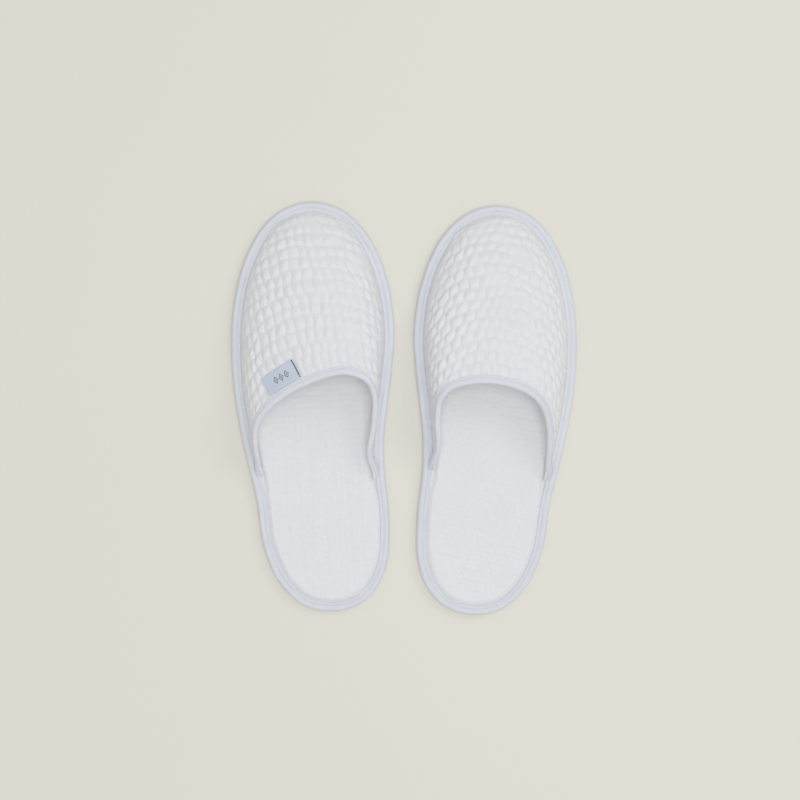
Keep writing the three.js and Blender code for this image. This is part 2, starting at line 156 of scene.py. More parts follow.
def cap(centre_x, side, tip_y, power, turns):
    """A quarter superellipse from its side (turn 0) towards its tip (turn 1): x by a power of the
    cosine and y by the same power of the sine."""
    angle = np.array(turns) * np.pi / 2
    x = centre_x + (side[0] - centre_x) * np.cos(angle) ** (2 / power)
    return np.stack([x, side[1] + (tip_y - side[1]) * np.sin(angle) ** (2 / power)], axis=1)


def sole_outline():
    toe, heel = SOLE_LENGTH / 2, -SOLE_LENGTH / 2
    out, back = (0, 0.25, 0.5, 0.75), (0.75, 0.5, 0.25, 0)
    points = [
        [(HEEL_TIP_X, heel)],
        cap(HEEL_TIP_X, HEEL["lateral"], heel, SQUARENESS["heel_lateral"], back),
        [WAIST["lateral"]],
        cap(TOE_TIP_X, BALL["lateral"], toe, SQUARENESS["toe_lateral"], out),
        [(TOE_TIP_X, toe)],
        cap(TOE_TIP_X, BALL["medial"], toe, SQUARENESS["toe_medial"], back),
        [WAIST["medial"]],
        cap(HEEL_TIP_X, HEEL["medial"], heel, SQUARENESS["heel_medial"], out),
    ]
    return smooth_curve(np.vstack(points), closed=True)


OUTLINE, OUTLINE_LENGTH = evenly(sole_outline(), 2401)
SHARES = np.linspace(0, 1, 2401)


def inward_normals(line, blur=9):
    """The tangent turned a quarter turn, averaged over a few neighbours so that it changes smoothly."""
    ring = line[:-1]
    tangent = np.roll(ring, -1, axis=0) - np.roll(ring, 1, axis=0)
    tangent = sum(np.roll(tangent, k, axis=0) for k in range(-blur, blur + 1))
    normal = np.stack([tangent[:, 1], -tangent[:, 0]], axis=1)
    normal /= np.linalg.norm(normal, axis=1, keepdims=True)
    return np.vstack([normal, normal[:1]])


NORMALS = inward_normals(OUTLINE)


def edge(share, inset):
    """The outline's point at share, plus inset times its inward normal; shares and insets may be whole
    arrays."""
    share, inset = np.broadcast_arrays(np.asarray(share, float) % 1, inset)
    x, y, nx, ny = (np.interp(share, SHARES, column) for column in (*OUTLINE.T, *NORMALS.T))
    return np.stack([x + inset * nx, y + inset * ny], axis=-1)


def share_at(side, y):
    """The share of the outline whose feather line is at station y on that side."""
    shares = np.linspace(0.03, 0.47, 600) if side == "lateral" else np.linspace(0.97, 0.53, 600)
    return np.interp(y, edge(shares, FEATHER_INSET)[:, 1], shares)


print(f"outline {OUTLINE_LENGTH:.0f} mm round")

# %% [markdown]
# ## The upper's surface
# The upper is one padded cloth, sewn to the sole along the feather line and cut away at the throat. Its
# surface is ruled from the feather line to the throat's edge, but each rise is a quarter-ellipse-like
# arc: it starts upright and leans over as it climbs. `around` runs from the lateral wing over the toe
# to the medial wing, and `up` from the feather line to the throat.

# %% The upper's surface
WALL_TILT = {"wing": 38, "toe": 62}
FAN = 0.5


def crowd(share, amount):
    """Moves shares towards the middle: share + amount sin(2 pi share) / 2 pi."""
    return share + amount * np.sin(2 * np.pi * share) / (2 * np.pi)


def smoothstep(x, low, high):
    t = np.clip((x - low) / (high - low), 0, 1)
    return t * t * (3 - 2 * t)


def unit(v):
    return v / np.maximum(np.linalg.norm(v, axis=-1, keepdims=True), 1e-12)


class Slipper:
    """One slipper's throat, wings and place."""

    def __init__(self, side):
        self.side, throat = side, THROATS[side]
        points = []
        for where, sign in (("lateral", 1), ("medial", -1)):
            for y, lean, z in throat[where]:
                x = edge(share_at(where, y), FEATHER_INSET)[0] + sign * lean
                points.append((x, y, z))
            if where == "lateral":
                points.append(throat["apex"])
        self.rim, self.rim_length = evenly(smooth_curve(points, closed=False), 1201)
        self.start = share_at("lateral", throat["lateral"][0][0])
        self.end = share_at("medial", throat["medial"][-1][0])
        turn = np.radians(TOE_OUT[side])
        self.mirror = 1 if side == "left" else -1
        self.turn = np.array([[np.cos(turn), -np.sin(turn)], [np.sin(turn), np.cos(turn)]])
        low, high = (np.array(c)[:2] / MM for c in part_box(f"{side}_sole_binding"))
        sole = self.turned(OUTLINE)
        self.shift = (low + high) / 2 - (sole.min(axis=0) + sole.max(axis=0)) / 2

    def turned(self, plan):
        return (plan * (self.mirror, 1)) @ self.turn.T

    def place(self, points):
        """From the slipper's own millimetres to metres in the frame: mirrored, turned, then moved."""
        plan = self.turned(points[..., :2]) + self.shift
        return np.concatenate([plan, points[..., 2:3]], axis=-1) * MM

    def surface(self, around, up):
        """foot + (rim - foot) times a share that is 1 - cos in plan and sin in height, of an angle that
        grows with up."""
        around, up = np.broadcast_arrays(np.asarray(around, float), up)
        foot = edge(self.start + (self.end - self.start) * around, FEATHER_INSET)
        at = np.clip(crowd(around, FAN), 0, 1)
        shares = np.linspace(0, 1, len(self.rim))
        rim = np.stack([np.interp(at, shares, axis) for axis in self.rim.T], axis=-1)
        spread = np.sin(np.pi * around) ** 2
        full = np.radians(WALL_TILT["wing"] + (WALL_TILT["toe"] - WALL_TILT["wing"]) * spread)
        across = ((1 - np.cos(full * up)) / (1 - np.cos(full)))[..., None]
        climb = (np.sin(full * up) / np.sin(full))[..., None]
        plan = foot + (rim[..., :2] - foot) * across
        return np.concatenate([plan, WALL_BASE + (rim[..., 2:] - WALL_BASE) * climb], axis=-1)

    def frame(self, around, up, step=1e-3):
        """Points, outward normals and the direction up the wall, from small differences of the
        surface."""
        around, up = np.broadcast_arrays(np.asarray(around, float), up)
        a0, a1 = np.clip(around - step, 0, 1), np.clip(around + step, 0, 1)
        u0, u1 = np.clip(up - step, 0, 1), np.clip(up + step, 0, 1)
        rise = unit(self.surface(around, u1) - self.surface(around, u0))
        normal = unit(np.cross(rise, self.surface(a1, up) - self.surface(a0, up)))
        return self.surface(around, up), normal, rise

    def up_at(self, around, below):
        """The value of up that lies `below` millimetres down the wall from the throat's edge."""
        ups = np.linspace(0, 1, 61)
        points = self.surface(around[:, None], ups[None])
        steps = np.linalg.norm(np.diff(points, axis=1), axis=2)
        left = np.cumsum(steps[:, ::-1], axis=1)[:, ::-1]
        left = np.concatenate([left, np.zeros((len(around), 1))], axis=1)
        below = np.broadcast_to(below, (len(around), np.shape(below)[-1]))
        below = np.clip(below, 0, left[:, :1] * 0.98)
        i = np.clip((left[:, None, :] > below[:, :, None]).sum(axis=2) - 1, 0, 59)
        high, low = np.take_along_axis(left, i, 1), np.take_along_axis(left, i + 1, 1)
        return ups[i] + (high - below) / (high - low) * (ups[1] - ups[0])


SLIPPERS = [Slipper("left"), Slipper("right")]
for slipper in SLIPPERS:
    print(slipper.side, f"throat {slipper.rim_length:.0f} mm, centre {np.round(slipper.shift, 1)}")

# %% [markdown]
# ## Turning grids into closed meshes
# A grid of points becomes a mesh by joining each point to its neighbours. The profile direction always
# closes on itself, so a piece of cloth has an outside, an inside and edges. Along the path, a grid
# either closes into a ring or gets a cap at each end. A UV map in metres follows the cloth, for the
# weave.

# %% Grids to meshes


def cells(grid):
    """The four corners of every cell of a grid, as [cell, corner] and whatever the grid holds."""
    four = np.stack([grid[:-1, :-1], grid[1:, :-1], grid[1:, 1:], grid[:-1, 1:]], axis=2)
    return four.reshape(-1, *four.shape[2:])


def extent(points):
    """How wide and how long a set of points is."""
    points = points.reshape(-1, points.shape[-1])
    return points.max(axis=0) - points.min(axis=0)


def shell(slipper, name, grid, uv=None, marks=None, ring=False, caps=True):
    """A closed mesh from grid[station, profile point] of local millimetres, with faces turned outwards.
    Marks are one number a point, kept as the attribute mark."""
    stations, profile = grid.shape[:2]
    index = np.arange(stations * profile).reshape(stations, profile)
    index = np.vstack([index, index[:1]]) if ring else index
    index = np.hstack([index, index[:, :1]])
    quads = cells(index)
    points = slipper.place(grid).reshape(-1, 3)
    corner = points[quads]
    volume = np.einsum("ij,ij->", corner[:, 0], np.cross(corner[:, 1], corner[:, 2]))
    volume += np.einsum("ij,ij->", corner[:, 0], np.cross(corner[:, 2], corner[:, 3]))
    outward = volume > 0
    faces = (quads if outward else quads[:, ::-1]).tolist()
    if caps and not ring:
        first, last = index[0, :-1].tolist(), index[-1, :-1].tolist()
        faces += [first[::-1], last] if not outward else [first, last[::-1]]
    mesh = bpy.data.meshes.new(name)
    mesh.from_pydata(points.tolist(), [], faces)
    if uv is not None:
        write_uv(mesh, uv, index.shape, quads_reversed=not outward)
    if marks is not None:
        mesh.attributes.new("mark", "FLOAT", "POINT").data.foreach_set("value", marks.ravel())
    return finish_mesh(name, mesh)


def write_uv(mesh, uv, shape, quads_reversed):
    """uv[station, profile point] in millimetres, one more than the grid each way where it closes."""
    rows, columns = shape
    uv = np.concatenate([uv, uv[:1]], axis=0) if uv.shape[0] < rows else uv
    uv = np.concatenate([uv, uv[:, :1]], axis=1) if uv.shape[1] < columns else uv
    corners = cells(uv)[:, ::-1] if quads_reversed else cells(uv)
    values = np.zeros((len(mesh.loops), 2))
    values[: len(corners) * 4] = corners.reshape(-1, 2) * MM
    mesh.uv_layers.new(name="cloth").data.foreach_set("uv", values.ravel())


def finish_mesh(name, mesh, merge=2e-6):
    """Merges the points that a fold or a pole repeats, shades smoothly and links the object."""
    work = bmesh.new()
    work.from_mesh(mesh)
    bmesh.ops.remove_doubles(work, verts=work.verts, dist=merge)
    work.to_mesh(mesh)
    work.free()
    mesh.polygons.foreach_set("use_smooth", np.ones(len(mesh.polygons), bool))
    piece = bpy.data.objects.new(name, mesh)
    bpy.context.scene.collection.objects.link(piece)
    return piece


def belong(piece, slipper, slot, material, *nodes):
    """The piece rides on its slipper's body, takes its finish and stands for CAD nodes; slot is not used."""
    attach(piece, f"{slipper.side}_slipper")
    if nodes:
        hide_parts(*(f"{slipper.side}_{node}" for node in nodes))
    piece.data.materials.append(material)
    print(f"{piece.name}: {len(piece.data.polygons)} faces")
    return piece


# %% [markdown]
# ## Soft irregularity
# Real cloth is never quite regular. A lattice of seeded random numbers, read with smooth interpolation,
# gives a value between -1 and 1 that drifts over the cloth. It moves the weave's lines about and makes
# puckers uneven.

# %% Noise


def drift(x, y, size, seed):
    """Values of a random 97 by 97 lattice, `size` millimetres apart, blended smoothly between its
    corners."""
    lattice = np.random.default_rng(seed).uniform(-1, 1, (97, 97))
    u, v = x / size + 40.5, y / size + 40.5
    i, j = np.floor(u).astype(int), np.floor(v).astype(int)
    s, t = u - i, v - j
    s, t = s * s * (3 - 2 * s), t * t * (3 - 2 * t)
    pick = lambda a, b: lattice[a % 97, b % 97]
    low = pick(i, j) * (1 - s) + pick(i + 1, j) * s
    high = pick(i, j + 1) * (1 - s) + pick(i + 1, j + 1) * s
    return low * (1 - t) + high * t


def cell_value(i, j, seed):
    """One random number from 0 to 1 for each cell of a grid."""
    return np.random.default_rng(seed).uniform(0, 1, (97, 97))[i.astype(int) % 97, j.astype(int) % 97]


# %% [markdown]
# ## The waffle cloth
# Waffle cloth puffs up into rows of small pillows between tight lines of thread. Its height is a
# function of the flat cloth's own x and y, before it is shaped over the foot. Each pillow is the
# product of two sine arches, raised to a power under one, so that it is round on top and steep at its
# edges. Its heel-side half stands a little prouder, so the rows overlap like scales, and no two pillows
# are quite alike.

# %% The waffle's height


class Waffle:
    """A cloth's cell size in millimetres, the turn of its rows, how far alternate rows are shifted, a
    seed, and how far the rows have been pulled down 45 mm off the middle, as on a square that bends
    them."""

    def __init__(self, width, length, turn, stagger, seed, bow=0.0):
        self.width, self.length, self.stagger, self.seed = width, length, stagger, seed
        self.turn, self.bow = np.radians(turn), bow

    def height(self, x, y):
        """0 in the lines between the pillows, about 1 on top of them."""
        c, s = np.cos(self.turn), np.sin(self.turn)
        x, y = c * x + s * y, c * y - s * x
        y = y + self.bow * (x / 45) ** 2
        far, near = 0.26 * self.width, 0.14 * self.width
        shift_x = far * drift(x, y, 19, self.seed) + near * drift(x, y, 6, self.seed + 1)
        shift_y = far * drift(x, y, 17, self.seed + 2) + near * drift(x, y, 6, self.seed + 3)
        across, along = (x + shift_x) / self.width, (y + shift_y) / self.length
        row = np.floor(along)
        across = across + self.stagger * (row % 2)
        column = np.floor(across)
        u, v = across - column, along - row
        pillow = (np.sin(np.pi * u) * np.sin(np.pi * v)) ** 0.85
        scale = 1 + 0.5 * (0.5 - v)
        size = 0.55 + 0.6 * cell_value(column, row, self.seed + 4)
        crumple = 0.16 * drift(x, y, 2.6, self.seed + 5) + 0.16 * drift(x, y, 11, self.seed + 6)
        slack = np.maximum(drift(x, y, 8, self.seed + 7) + 0.15, 0) * 0.45
        return np.maximum(pillow * (scale * size + crumple), slack * (0.5 + pillow))


UPPER_WAFFLES = {"left": Waffle(6.6, 8.6, 11, 0.12, 11, 9), "right": Waffle(7.4, 7.8, -2, 0.42, 29, 15)}
INSOLE_WAFFLES = {"left": Waffle(8.4, 8.4, 1, 0, 41), "right": Waffle(7.4, 7.0, 8, 0.5, 53)}


COARSE_GRID = np.linspace(0, 1, 121)[:, None], np.linspace(0, 1, 41)[None]  # around and up


def flatten(points, rounds=2500):
    """Lays a curved grid of points flat, as its pattern piece: points pull each neighbour, along the
    rows, columns and diagonals, to the distance that they had on the curved cloth, and settle where the
    pulls balance."""
    flat = points[..., :2].copy()
    flat[..., 0] *= 1.15
    pairs = [((1, 0), 1.0), ((0, 1), 1.0), ((1, 1), 0.4), ((1, -1), 0.4)]

    def ends(array, di, dj):
        n, m = array.shape[:2]
        a = array[: n - di, max(0, -dj): m - max(0, dj)]
        return a, array[di:, max(0, dj): m + min(0, dj)]

    rest = [np.linalg.norm(np.subtract(*ends(points, *step)), axis=-1, keepdims=True) for step, _ in pairs]
    pull = np.zeros_like(flat)
    for _ in range(rounds):
        move = np.zeros_like(flat)
        for (step, weight), length in zip(pairs, rest):
            a, b = ends(flat, *step)
            gap = b - a
            now = np.maximum(np.linalg.norm(gap, axis=-1, keepdims=True), 1e-9)
            change = weight * 0.5 * (now - length) / now * gap
            first, second = ends(move, *step)
            first += change
            second -= change
        pull = 0.9 * pull + 0.28 * move
        flat += pull
    return flat


def refine(coarse, rows, columns):
    """A coarse grid of values at more rows and columns, by straight interpolation each way."""
    n, m = coarse.shape[:2]
    at_n, at_m = np.linspace(0, n - 1, rows), np.linspace(0, m - 1, columns)
    i, j = np.minimum(at_n.astype(int), n - 2), np.minimum(at_m.astype(int), m - 2)
    s, t = (at_n - i)[:, None, None], (at_m - j)[None, :, None]
    top = coarse[i][:, j] * (1 - t) + coarse[i][:, j + 1] * t
    low = coarse[i + 1][:, j] * (1 - t) + coarse[i + 1][:, j + 1] * t
    return top * (1 - s) + low * s


for slipper in SLIPPERS:
    coarse = slipper.surface(*COARSE_GRID)
    pattern = flatten(coarse)
    slipper.pattern = pattern - pattern[60, 20] + coarse[60, 20, :2]
    print(slipper.side, "upper's pattern piece:", np.round(extent(slipper.pattern)), "mm")

# %% [markdown]
# ## Shader maths as Python
# A material is a small graph of nodes. `Wire` wraps one socket, so that `1 - mask` adds a Math node,
# and `Finish` wraps a whole material: its `node` method makes any other node from its settings and the
# values or wires of its sockets. Values that are the same all over a surface are set on the shader
# itself.

# %% Wires and finishes


class Wire:
    """One output of a node. + - * / between wires and numbers become Math nodes."""

    def __init__(self, finish, socket):
        self.finish, self.socket = finish, socket

    def math(self, operation, *terms):
        return self.finish.node("ShaderNodeMath", {"operation": operation}, dict(enumerate(terms)))

    def __add__(self, other):
        return self.math("ADD", self, other)

    def __sub__(self, other):
        return self.math("SUBTRACT", self, other)

    def __rsub__(self, other):
        return self.math("SUBTRACT", other, self)

    def __mul__(self, other):
        return self.math("MULTIPLY", self, other)

    def __truediv__(self, other):
        return self.math("DIVIDE", self, other)

    __radd__, __rmul__ = __add__, __mul__

    def sine(self):
        return self.math("SINE", self)

    def size(self):
        return self.math("ABSOLUTE", self)

    def between(self, low, high):
        """0 below low and 1 above high, smoothly."""
        settings = {"interpolation_type": "SMOOTHSTEP"}
        sockets = {"Value": self, "From Min": low, "From Max": high}
        return self.finish.node("ShaderNodeMapRange", settings, sockets)


def socket_name(key):
    return key.replace("_", " ").title().replace("Ior", "IOR")


class Finish:
    """A material with a Principled shader. The shader's constants are set by name."""

    def __init__(self, name, **constants):
        self.material = bpy.data.materials.new(name)
        self.material.use_nodes = True
        self.tree = self.material.node_tree
        self.shader = next(n for n in self.tree.nodes if n.type == "BSDF_PRINCIPLED")
        for key, value in constants.items():
            self.shader.inputs[socket_name(key)].default_value = value

    def node(self, kind, settings=None, sockets=None, out=0):
        made = self.tree.nodes.new(kind)
        for key, value in (settings or {}).items():
            setattr(made, key, value)
        for key, value in (sockets or {}).items():
            self.join(value, made.inputs[key])
        return Wire(self, made.outputs[out])

    def join(self, value, socket):
        if isinstance(value, Wire):
            self.tree.links.new(value.socket, socket)
        else:
            socket.default_value = value

    def blend(self, share, first, second):
        """first where share is 0 and second where it is 1; colours stay colours."""
        return self.node("ShaderNodeMix", {"data_type": "RGBA"}, {0: share, 6: first, 7: second}, out=2)

    def place(self):
        """The piece's Object coordinates, in metres in the frame."""
        return self.node("ShaderNodeTexCoord", out="Object")

    def cloth(self):
        """The cloth's own two directions in millimetres, from the UV map."""
        both = self.node("ShaderNodeUVMap", {"uv_map": "cloth"})
        x, y = (self.node("ShaderNodeSeparateXYZ", sockets={0: both}, out=axis) for axis in "XY")
        return x * 1000, y * 1000

    def speckle(self, size, detail=2):
        """Noise from 0 to 1 whose blots are about `size` metres wide."""
        sockets = {"Vector": self.place(), "Scale": 1 / size, "Detail": detail}
        return self.node("ShaderNodeTexNoise", sockets=sockets)

    def relief(self, height, distance, strength=1.0):
        """A Bump node for a height from 0 to 1, which stands `distance` metres proud at most."""
        sockets = {"Height": height, "Distance": distance, "Strength": strength}
        self.join(self.node("ShaderNodeBump", sockets=sockets), self.shader.inputs["Normal"])

    def set(self, **wires):
        for key, value in wires.items():
            self.join(value, self.shader.inputs[socket_name(key)])
        return self


def tone(red, green, blue):
    """A colour as shown on screen, 0 to 255, as the linear light that a shader takes."""
    c = np.array([red, green, blue]) / 255
    linear = np.where(c < 0.04045, c / 12.92, ((c + 0.055) / 1.055) ** 2.4)
    return (*linear.tolist(), 1.0)


# %% [markdown]
# ## The cloths' finishes
# Cotton is matt with a soft sheen, and its look comes from its threads. The two thread directions are
# two sine waves over the cloth's own UV map, so the weave bends with the cloth. The waffle cloth's
# lines between pillows are painted a little darker, as painted shade in the creases, and the height
# attribute that the relief leaves behind says where they are.

# %% Cloth finishes


def waffle_finish(name, colour, crease_shade):
    finish = Finish(name, roughness=0.92, sheen_weight=0.2, sheen_roughness=0.6, specular_ior_level=0.25)
    x, y = finish.cloth()
    threads = (x * 9.0).sine().size() * (y * 9.0).sine().size()
    fluff = finish.speckle(0.0006, 3)
    puff = finish.node("ShaderNodeAttribute", {"attribute_name": "mark"}, out="Fac")
    cloud = finish.speckle(0.03).between(0.3, 0.7)
    high = finish.blend(cloud * 0.6, tone(*colour), tone(*(c - 5 for c in colour)))
    # The crease colour is painted shade: the creases between the pillows are painted darker where the mark
    # attribute is low.
    deep = finish.blend(threads, tone(*crease_shade), tone(*(c + 8 for c in crease_shade)))
    finish.set(base_color=finish.blend(puff.between(0.0, 0.28), deep, high))
    finish.set(roughness=0.85 + fluff * 0.12)
    finish.relief(threads * 0.5 + fluff * 0.5, 0.00022)
    return finish.material


def tape_finish(name, colour, step):
    """Twill tape: ribs slant across its width, because the wave's angle is x plus y."""
    finish = Finish(name, roughness=0.8, sheen_weight=0.15, sheen_roughness=0.5, specular_ior_level=0.3)
    x, y = finish.cloth()
    slant = ((x + y * 0.8) * (np.pi / step)).sine().size()
    across = (y * (np.pi / step)).sine().size()
    fluff = finish.speckle(0.0005, 3)
    cloud = finish.speckle(0.02).between(0.35, 0.65)
    pale = finish.blend(cloud, tone(*colour), tone(*(c - 5 for c in colour)))
    finish.set(base_color=finish.blend(slant * 0.35, pale, tone(*(c + 5 for c in colour))))
    finish.set(roughness=0.72 + fluff * 0.15)
    finish.relief(slant * 0.6 + across * 0.2 + fluff * 0.2, 0.00012)
    return finish.material


def lining_finish():
    """Plain weave: one thread over, one thread under, both ways."""
    finish = Finish("lining_cloth", roughness=0.95, sheen_weight=0.1, specular_ior_level=0.2)
    x, y = finish.cloth()
    threads = (x * 5.0).sine().size() * 0.5 + (y * 5.0).sine().size() * 0.5
    cloud = finish.speckle(0.015)
    share = threads * 0.5 + cloud * 0.3
    # The lining's warm beige, darker than the waffle cloth, is painted shade: the warm shade inside the
    # throat.
    finish.set(base_color=finish.blend(share, tone(226, 222, 214), tone(238, 236, 230)))
    finish.set(roughness=0.88 + cloud * 0.1)
    finish.relief(threads, 0.0001)
    return finish.material


def thread_finish():
    """Two plies twisted together: slanting ribs along the stitch."""
    finish = Finish("sewing_thread", roughness=0.55, sheen_weight=0.1, specular_ior_level=0.4)
    x, y = finish.cloth()
    plies = ((x * 1.0 + y * 1.6) * 7.0).sine().size()
    finish.set(base_color=finish.blend(plies, tone(206, 210, 222), tone(232, 234, 242)))
    finish.set(roughness=0.5 + plies * 0.2)
    finish.relief(plies, 0.00008)
    return finish.material


# The second colour is the painted shade in the creases between the upper's pillows.
WAFFLE_CLOTH = {
    side: waffle_finish(f"waffle_cloth_{side}", (241, 243, 247), (227, 229, 235)) for side in THROATS
}
BINDING_TAPE = tape_finish("twill_tape", (218, 222, 233), 0.55)
LINING_CLOTH, SEWING_THREAD = lining_finish(), thread_finish()
cloths = (*WAFFLE_CLOTH.values(), BINDING_TAPE, LINING_CLOTH, SEWING_THREAD)
print("cloth finishes:", [material.name for material in cloths])

# %% [markdown]
# ## The finishes of the sole
# The outsole is moulded foam rubber with a pebbled skin. The padding is open foam, full of small pores,
# which a Voronoi texture gives. The board inside is pressed fibre: its long flecks are noise on
# stretched coordinates.

# %% Sole finishes


def sole_finish():
    finish = Finish("sole_foam", specular_ior_level=0.35)
    pebbles = finish.node("ShaderNodeTexVoronoi", sockets={"Vector": finish.place(), "Scale": 900.0})
    cloud, scuff = finish.speckle(0.025), finish.speckle(0.004, 4).between(0.6, 0.75)
    finish.set(base_color=finish.blend(cloud, tone(218, 219, 221), tone(229, 230, 232)))
    finish.set(roughness=0.62 + scuff * 0.2)
    finish.relief(pebbles, 0.00012)
    return finish.material


def foam_finish():
    finish = Finish("padding_foam", specular_ior_level=0.2)
    pores = finish.node("ShaderNodeTexVoronoi", sockets={"Vector": finish.place(), "Scale": 1400.0})
    deep = pores.between(0.05, 0.5)
    finish.set(base_color=finish.blend(deep, tone(206, 196, 170), tone(236, 229, 208)))
    finish.set(roughness=0.85 + pores * 0.15)
    finish.relief(pores, 0.0003)
    return finish.material


def board_finish():
    finish = Finish("fibreboard", specular_ior_level=0.25)
    sockets = {"Vector": finish.place(), "Scale": (900.0, 160.0, 900.0)}
    stretch = finish.node("ShaderNodeMapping", {}, sockets)
    flecks = finish.node("ShaderNodeTexNoise", {}, {"Vector": stretch, "Scale": 1.0, "Detail": 4.0})
    share = flecks.between(0.35, 0.65)
    finish.set(base_color=finish.blend(share, tone(150, 126, 96), tone(188, 164, 130)))
    finish.set(roughness=0.75 + flecks * 0.2)
    finish.relief(flecks, 0.00015)
    return finish.material


SOLE_FOAM, PADDING_FOAM, FIBREBOARD = sole_finish(), foam_finish(), board_finish()
for side in ("left", "right"):
    board = next(o for o in bpy.data.objects if o.name.startswith(f"{side}_insole_board"))
    for place in board.material_slots:
        place.material = FIBREBOARD
print("fibreboard on", board.name, "and its pair")

# %% [markdown]
# ## Camera, floor and light
# The camera looks straight down from high above, with a long lens, so both soles show their true
# outlines. The light is a broad panel overhead, which reaches into the throats and between the
# slippers, a weak one to the right beyond the toes, which gives the pillows their shadows, and a pale
# room all round. The view's gamma is a grade of the finished picture: it lifts the shadows.

# %% Camera, floor and light
VIEW_WIDTH, CAMERA_HEIGHT, SENSOR = 0.5589, 1.55, 36.0
HORIZON, ZENITH = 0.32, 0.44  # how bright the room is low down and straight above
camera = bpy.data.objects.new("camera", bpy.data.cameras.new("camera"))
camera.location = (-0.0028, 0.0059, CAMERA_HEIGHT)
camera.data.sensor_width = SENSOR
camera.data.lens = SENSOR * CAMERA_HEIGHT / VIEW_WIDTH
bpy.context.scene.collection.objects.link(camera)
bpy.context.scene.camera = camera
bpy.context.scene.view_settings.view_transform = "Standard"
bpy.context.scene.view_settings.gamma = 1.45


def floor_plane(half=3.0, sunk=0.0002):
    mesh = bpy.data.meshes.new("floor")
    corners = [(-half, -half, -sunk), (half, -half, -sunk), (half, half, -sunk), (-half, half, -sunk)]
    mesh.from_pydata(corners, [], [(0, 1, 2, 3)])
    finish = Finish("floor_paper", specular_ior_level=0.1)
    cloud = finish.speckle(0.2)
    finish.set(base_color=finish.blend(cloud, tone(223, 221, 208), tone(225, 223, 210)))
    finish.set(roughness=0.9 + cloud * 0.05)
    mesh.materials.append(finish.material)
    floor = bpy.data.objects.new("floor", mesh)
    bpy.context.scene.collection.objects.link(floor)
    return floor


def look_along(way):
    """The turns about x and z that point a lamp's -Z axis along a direction."""
    x, y, z = way / np.linalg.norm(way)
    return (np.arccos(-z), 0.0, np.arctan2(-x, y))


def panel(name, position, aim, size, power):
    light = bpy.data.lights.new(name, "AREA")
    light.shape, light.size, light.size_y, light.energy = "RECTANGLE", *size, power
    lamp = bpy.data.objects.new(name, light)
    lamp.location = position
    lamp.rotation_euler = look_along(np.subtract(aim, position))
    bpy.context.scene.collection.objects.link(lamp)
    return lamp


floor_plane()
panel("key_panel", (1.15, 0.75, 1.5), (0, 0, 0), (0.8, 0.8), 5)
panel("ceiling_panel", (0.15, -0.15, 2.3), (0.15, -0.15, 0), (1.0, 1.0), 21)
world = bpy.data.worlds.new("pale_room")
world.use_nodes = True
sky = next(n for n in world.node_tree.nodes if n.type == "BACKGROUND")
sky.inputs["Color"].default_value = (1.0, 0.995, 0.98, 1.0)
way = world.node_tree.nodes.new("ShaderNodeTexCoord").outputs["Generated"]
parts = world.node_tree.nodes.new("ShaderNodeSeparateXYZ")
height = world.node_tree.nodes.new("ShaderNodeMapRange")
world.node_tree.links.new(way, parts.inputs[0])
world.node_tree.links.new(parts.outputs["Z"], height.inputs["Value"])
height.inputs["To Min"].default_value, height.inputs["To Max"].default_value = HORIZON, ZENITH
world.node_tree.links.new(height.outputs[0], sky.inputs["Strength"])
bpy.context.scene.world = world
print(f"lens {camera.data.lens:.1f} mm")

# %% [markdown]
# ## Letting the cloth settle
# The upper is cloth stretched over foam and held along two seams, so it swells a little between them.
# Blender's Cloth works this out: a coarse grid of the surface is pinned at its seams, gets a little
# slack and a little pressure from inside, and moves for twenty frames. Only how far each point moved
# along its own normal is kept, within a limit, and that is added to the fine surface later.

# %% The cloth's settling


def grid_mesh(name, grid):
    rows, columns = grid.shape[:2]
    quads = cells(np.arange(rows * columns).reshape(rows, columns))
    mesh = bpy.data.meshes.new(name)
    mesh.from_pydata(grid.reshape(-1, 3).tolist(), [], quads.tolist())
    return mesh


def settle(grid, normals, pinned, pressure, slack, frames=20, unit_mm=100):
    """How far each point of a grid moves along its normal when the cloth settles, in millimetres. The
    cloth is worked out at ten times its size, where Blender's solver is at its best."""
    mesh = grid_mesh("settling", grid / unit_mm)
    cloth = bpy.data.objects.new("settling", mesh)
    bpy.context.scene.collection.objects.link(cloth)
    group = cloth.vertex_groups.new(name="held")
    group.add(np.flatnonzero(pinned.ravel()).tolist(), 1.0, "REPLACE")
    modifier = cloth.modifiers.new("cloth", "CLOTH")
    settings = modifier.settings
    settings.vertex_group_mass = "held"
    settings.quality, settings.mass = 6, 0.3
    settings.tension_stiffness = settings.compression_stiffness = 15
    settings.shear_stiffness, settings.bending_stiffness = 5, 0.6
    settings.shrink_min = settings.shrink_max = -slack
    settings.use_pressure, settings.uniform_pressure_force = True, pressure
    settings.effector_weights.gravity = 0
    modifier.point_cache.frame_start, modifier.point_cache.frame_end = 1, frames
    for frame_number in range(1, frames + 1):
        bpy.context.scene.frame_set(frame_number)
    shown = cloth.evaluated_get(bpy.context.evaluated_depsgraph_get())
    moved = np.empty(len(mesh.vertices) * 3)
    shown.data.vertices.foreach_get("co", moved)
    bpy.data.objects.remove(cloth)
    bpy.context.scene.frame_set(1)
    return ((moved.reshape(grid.shape) * unit_mm - grid) * normals).sum(axis=-1)


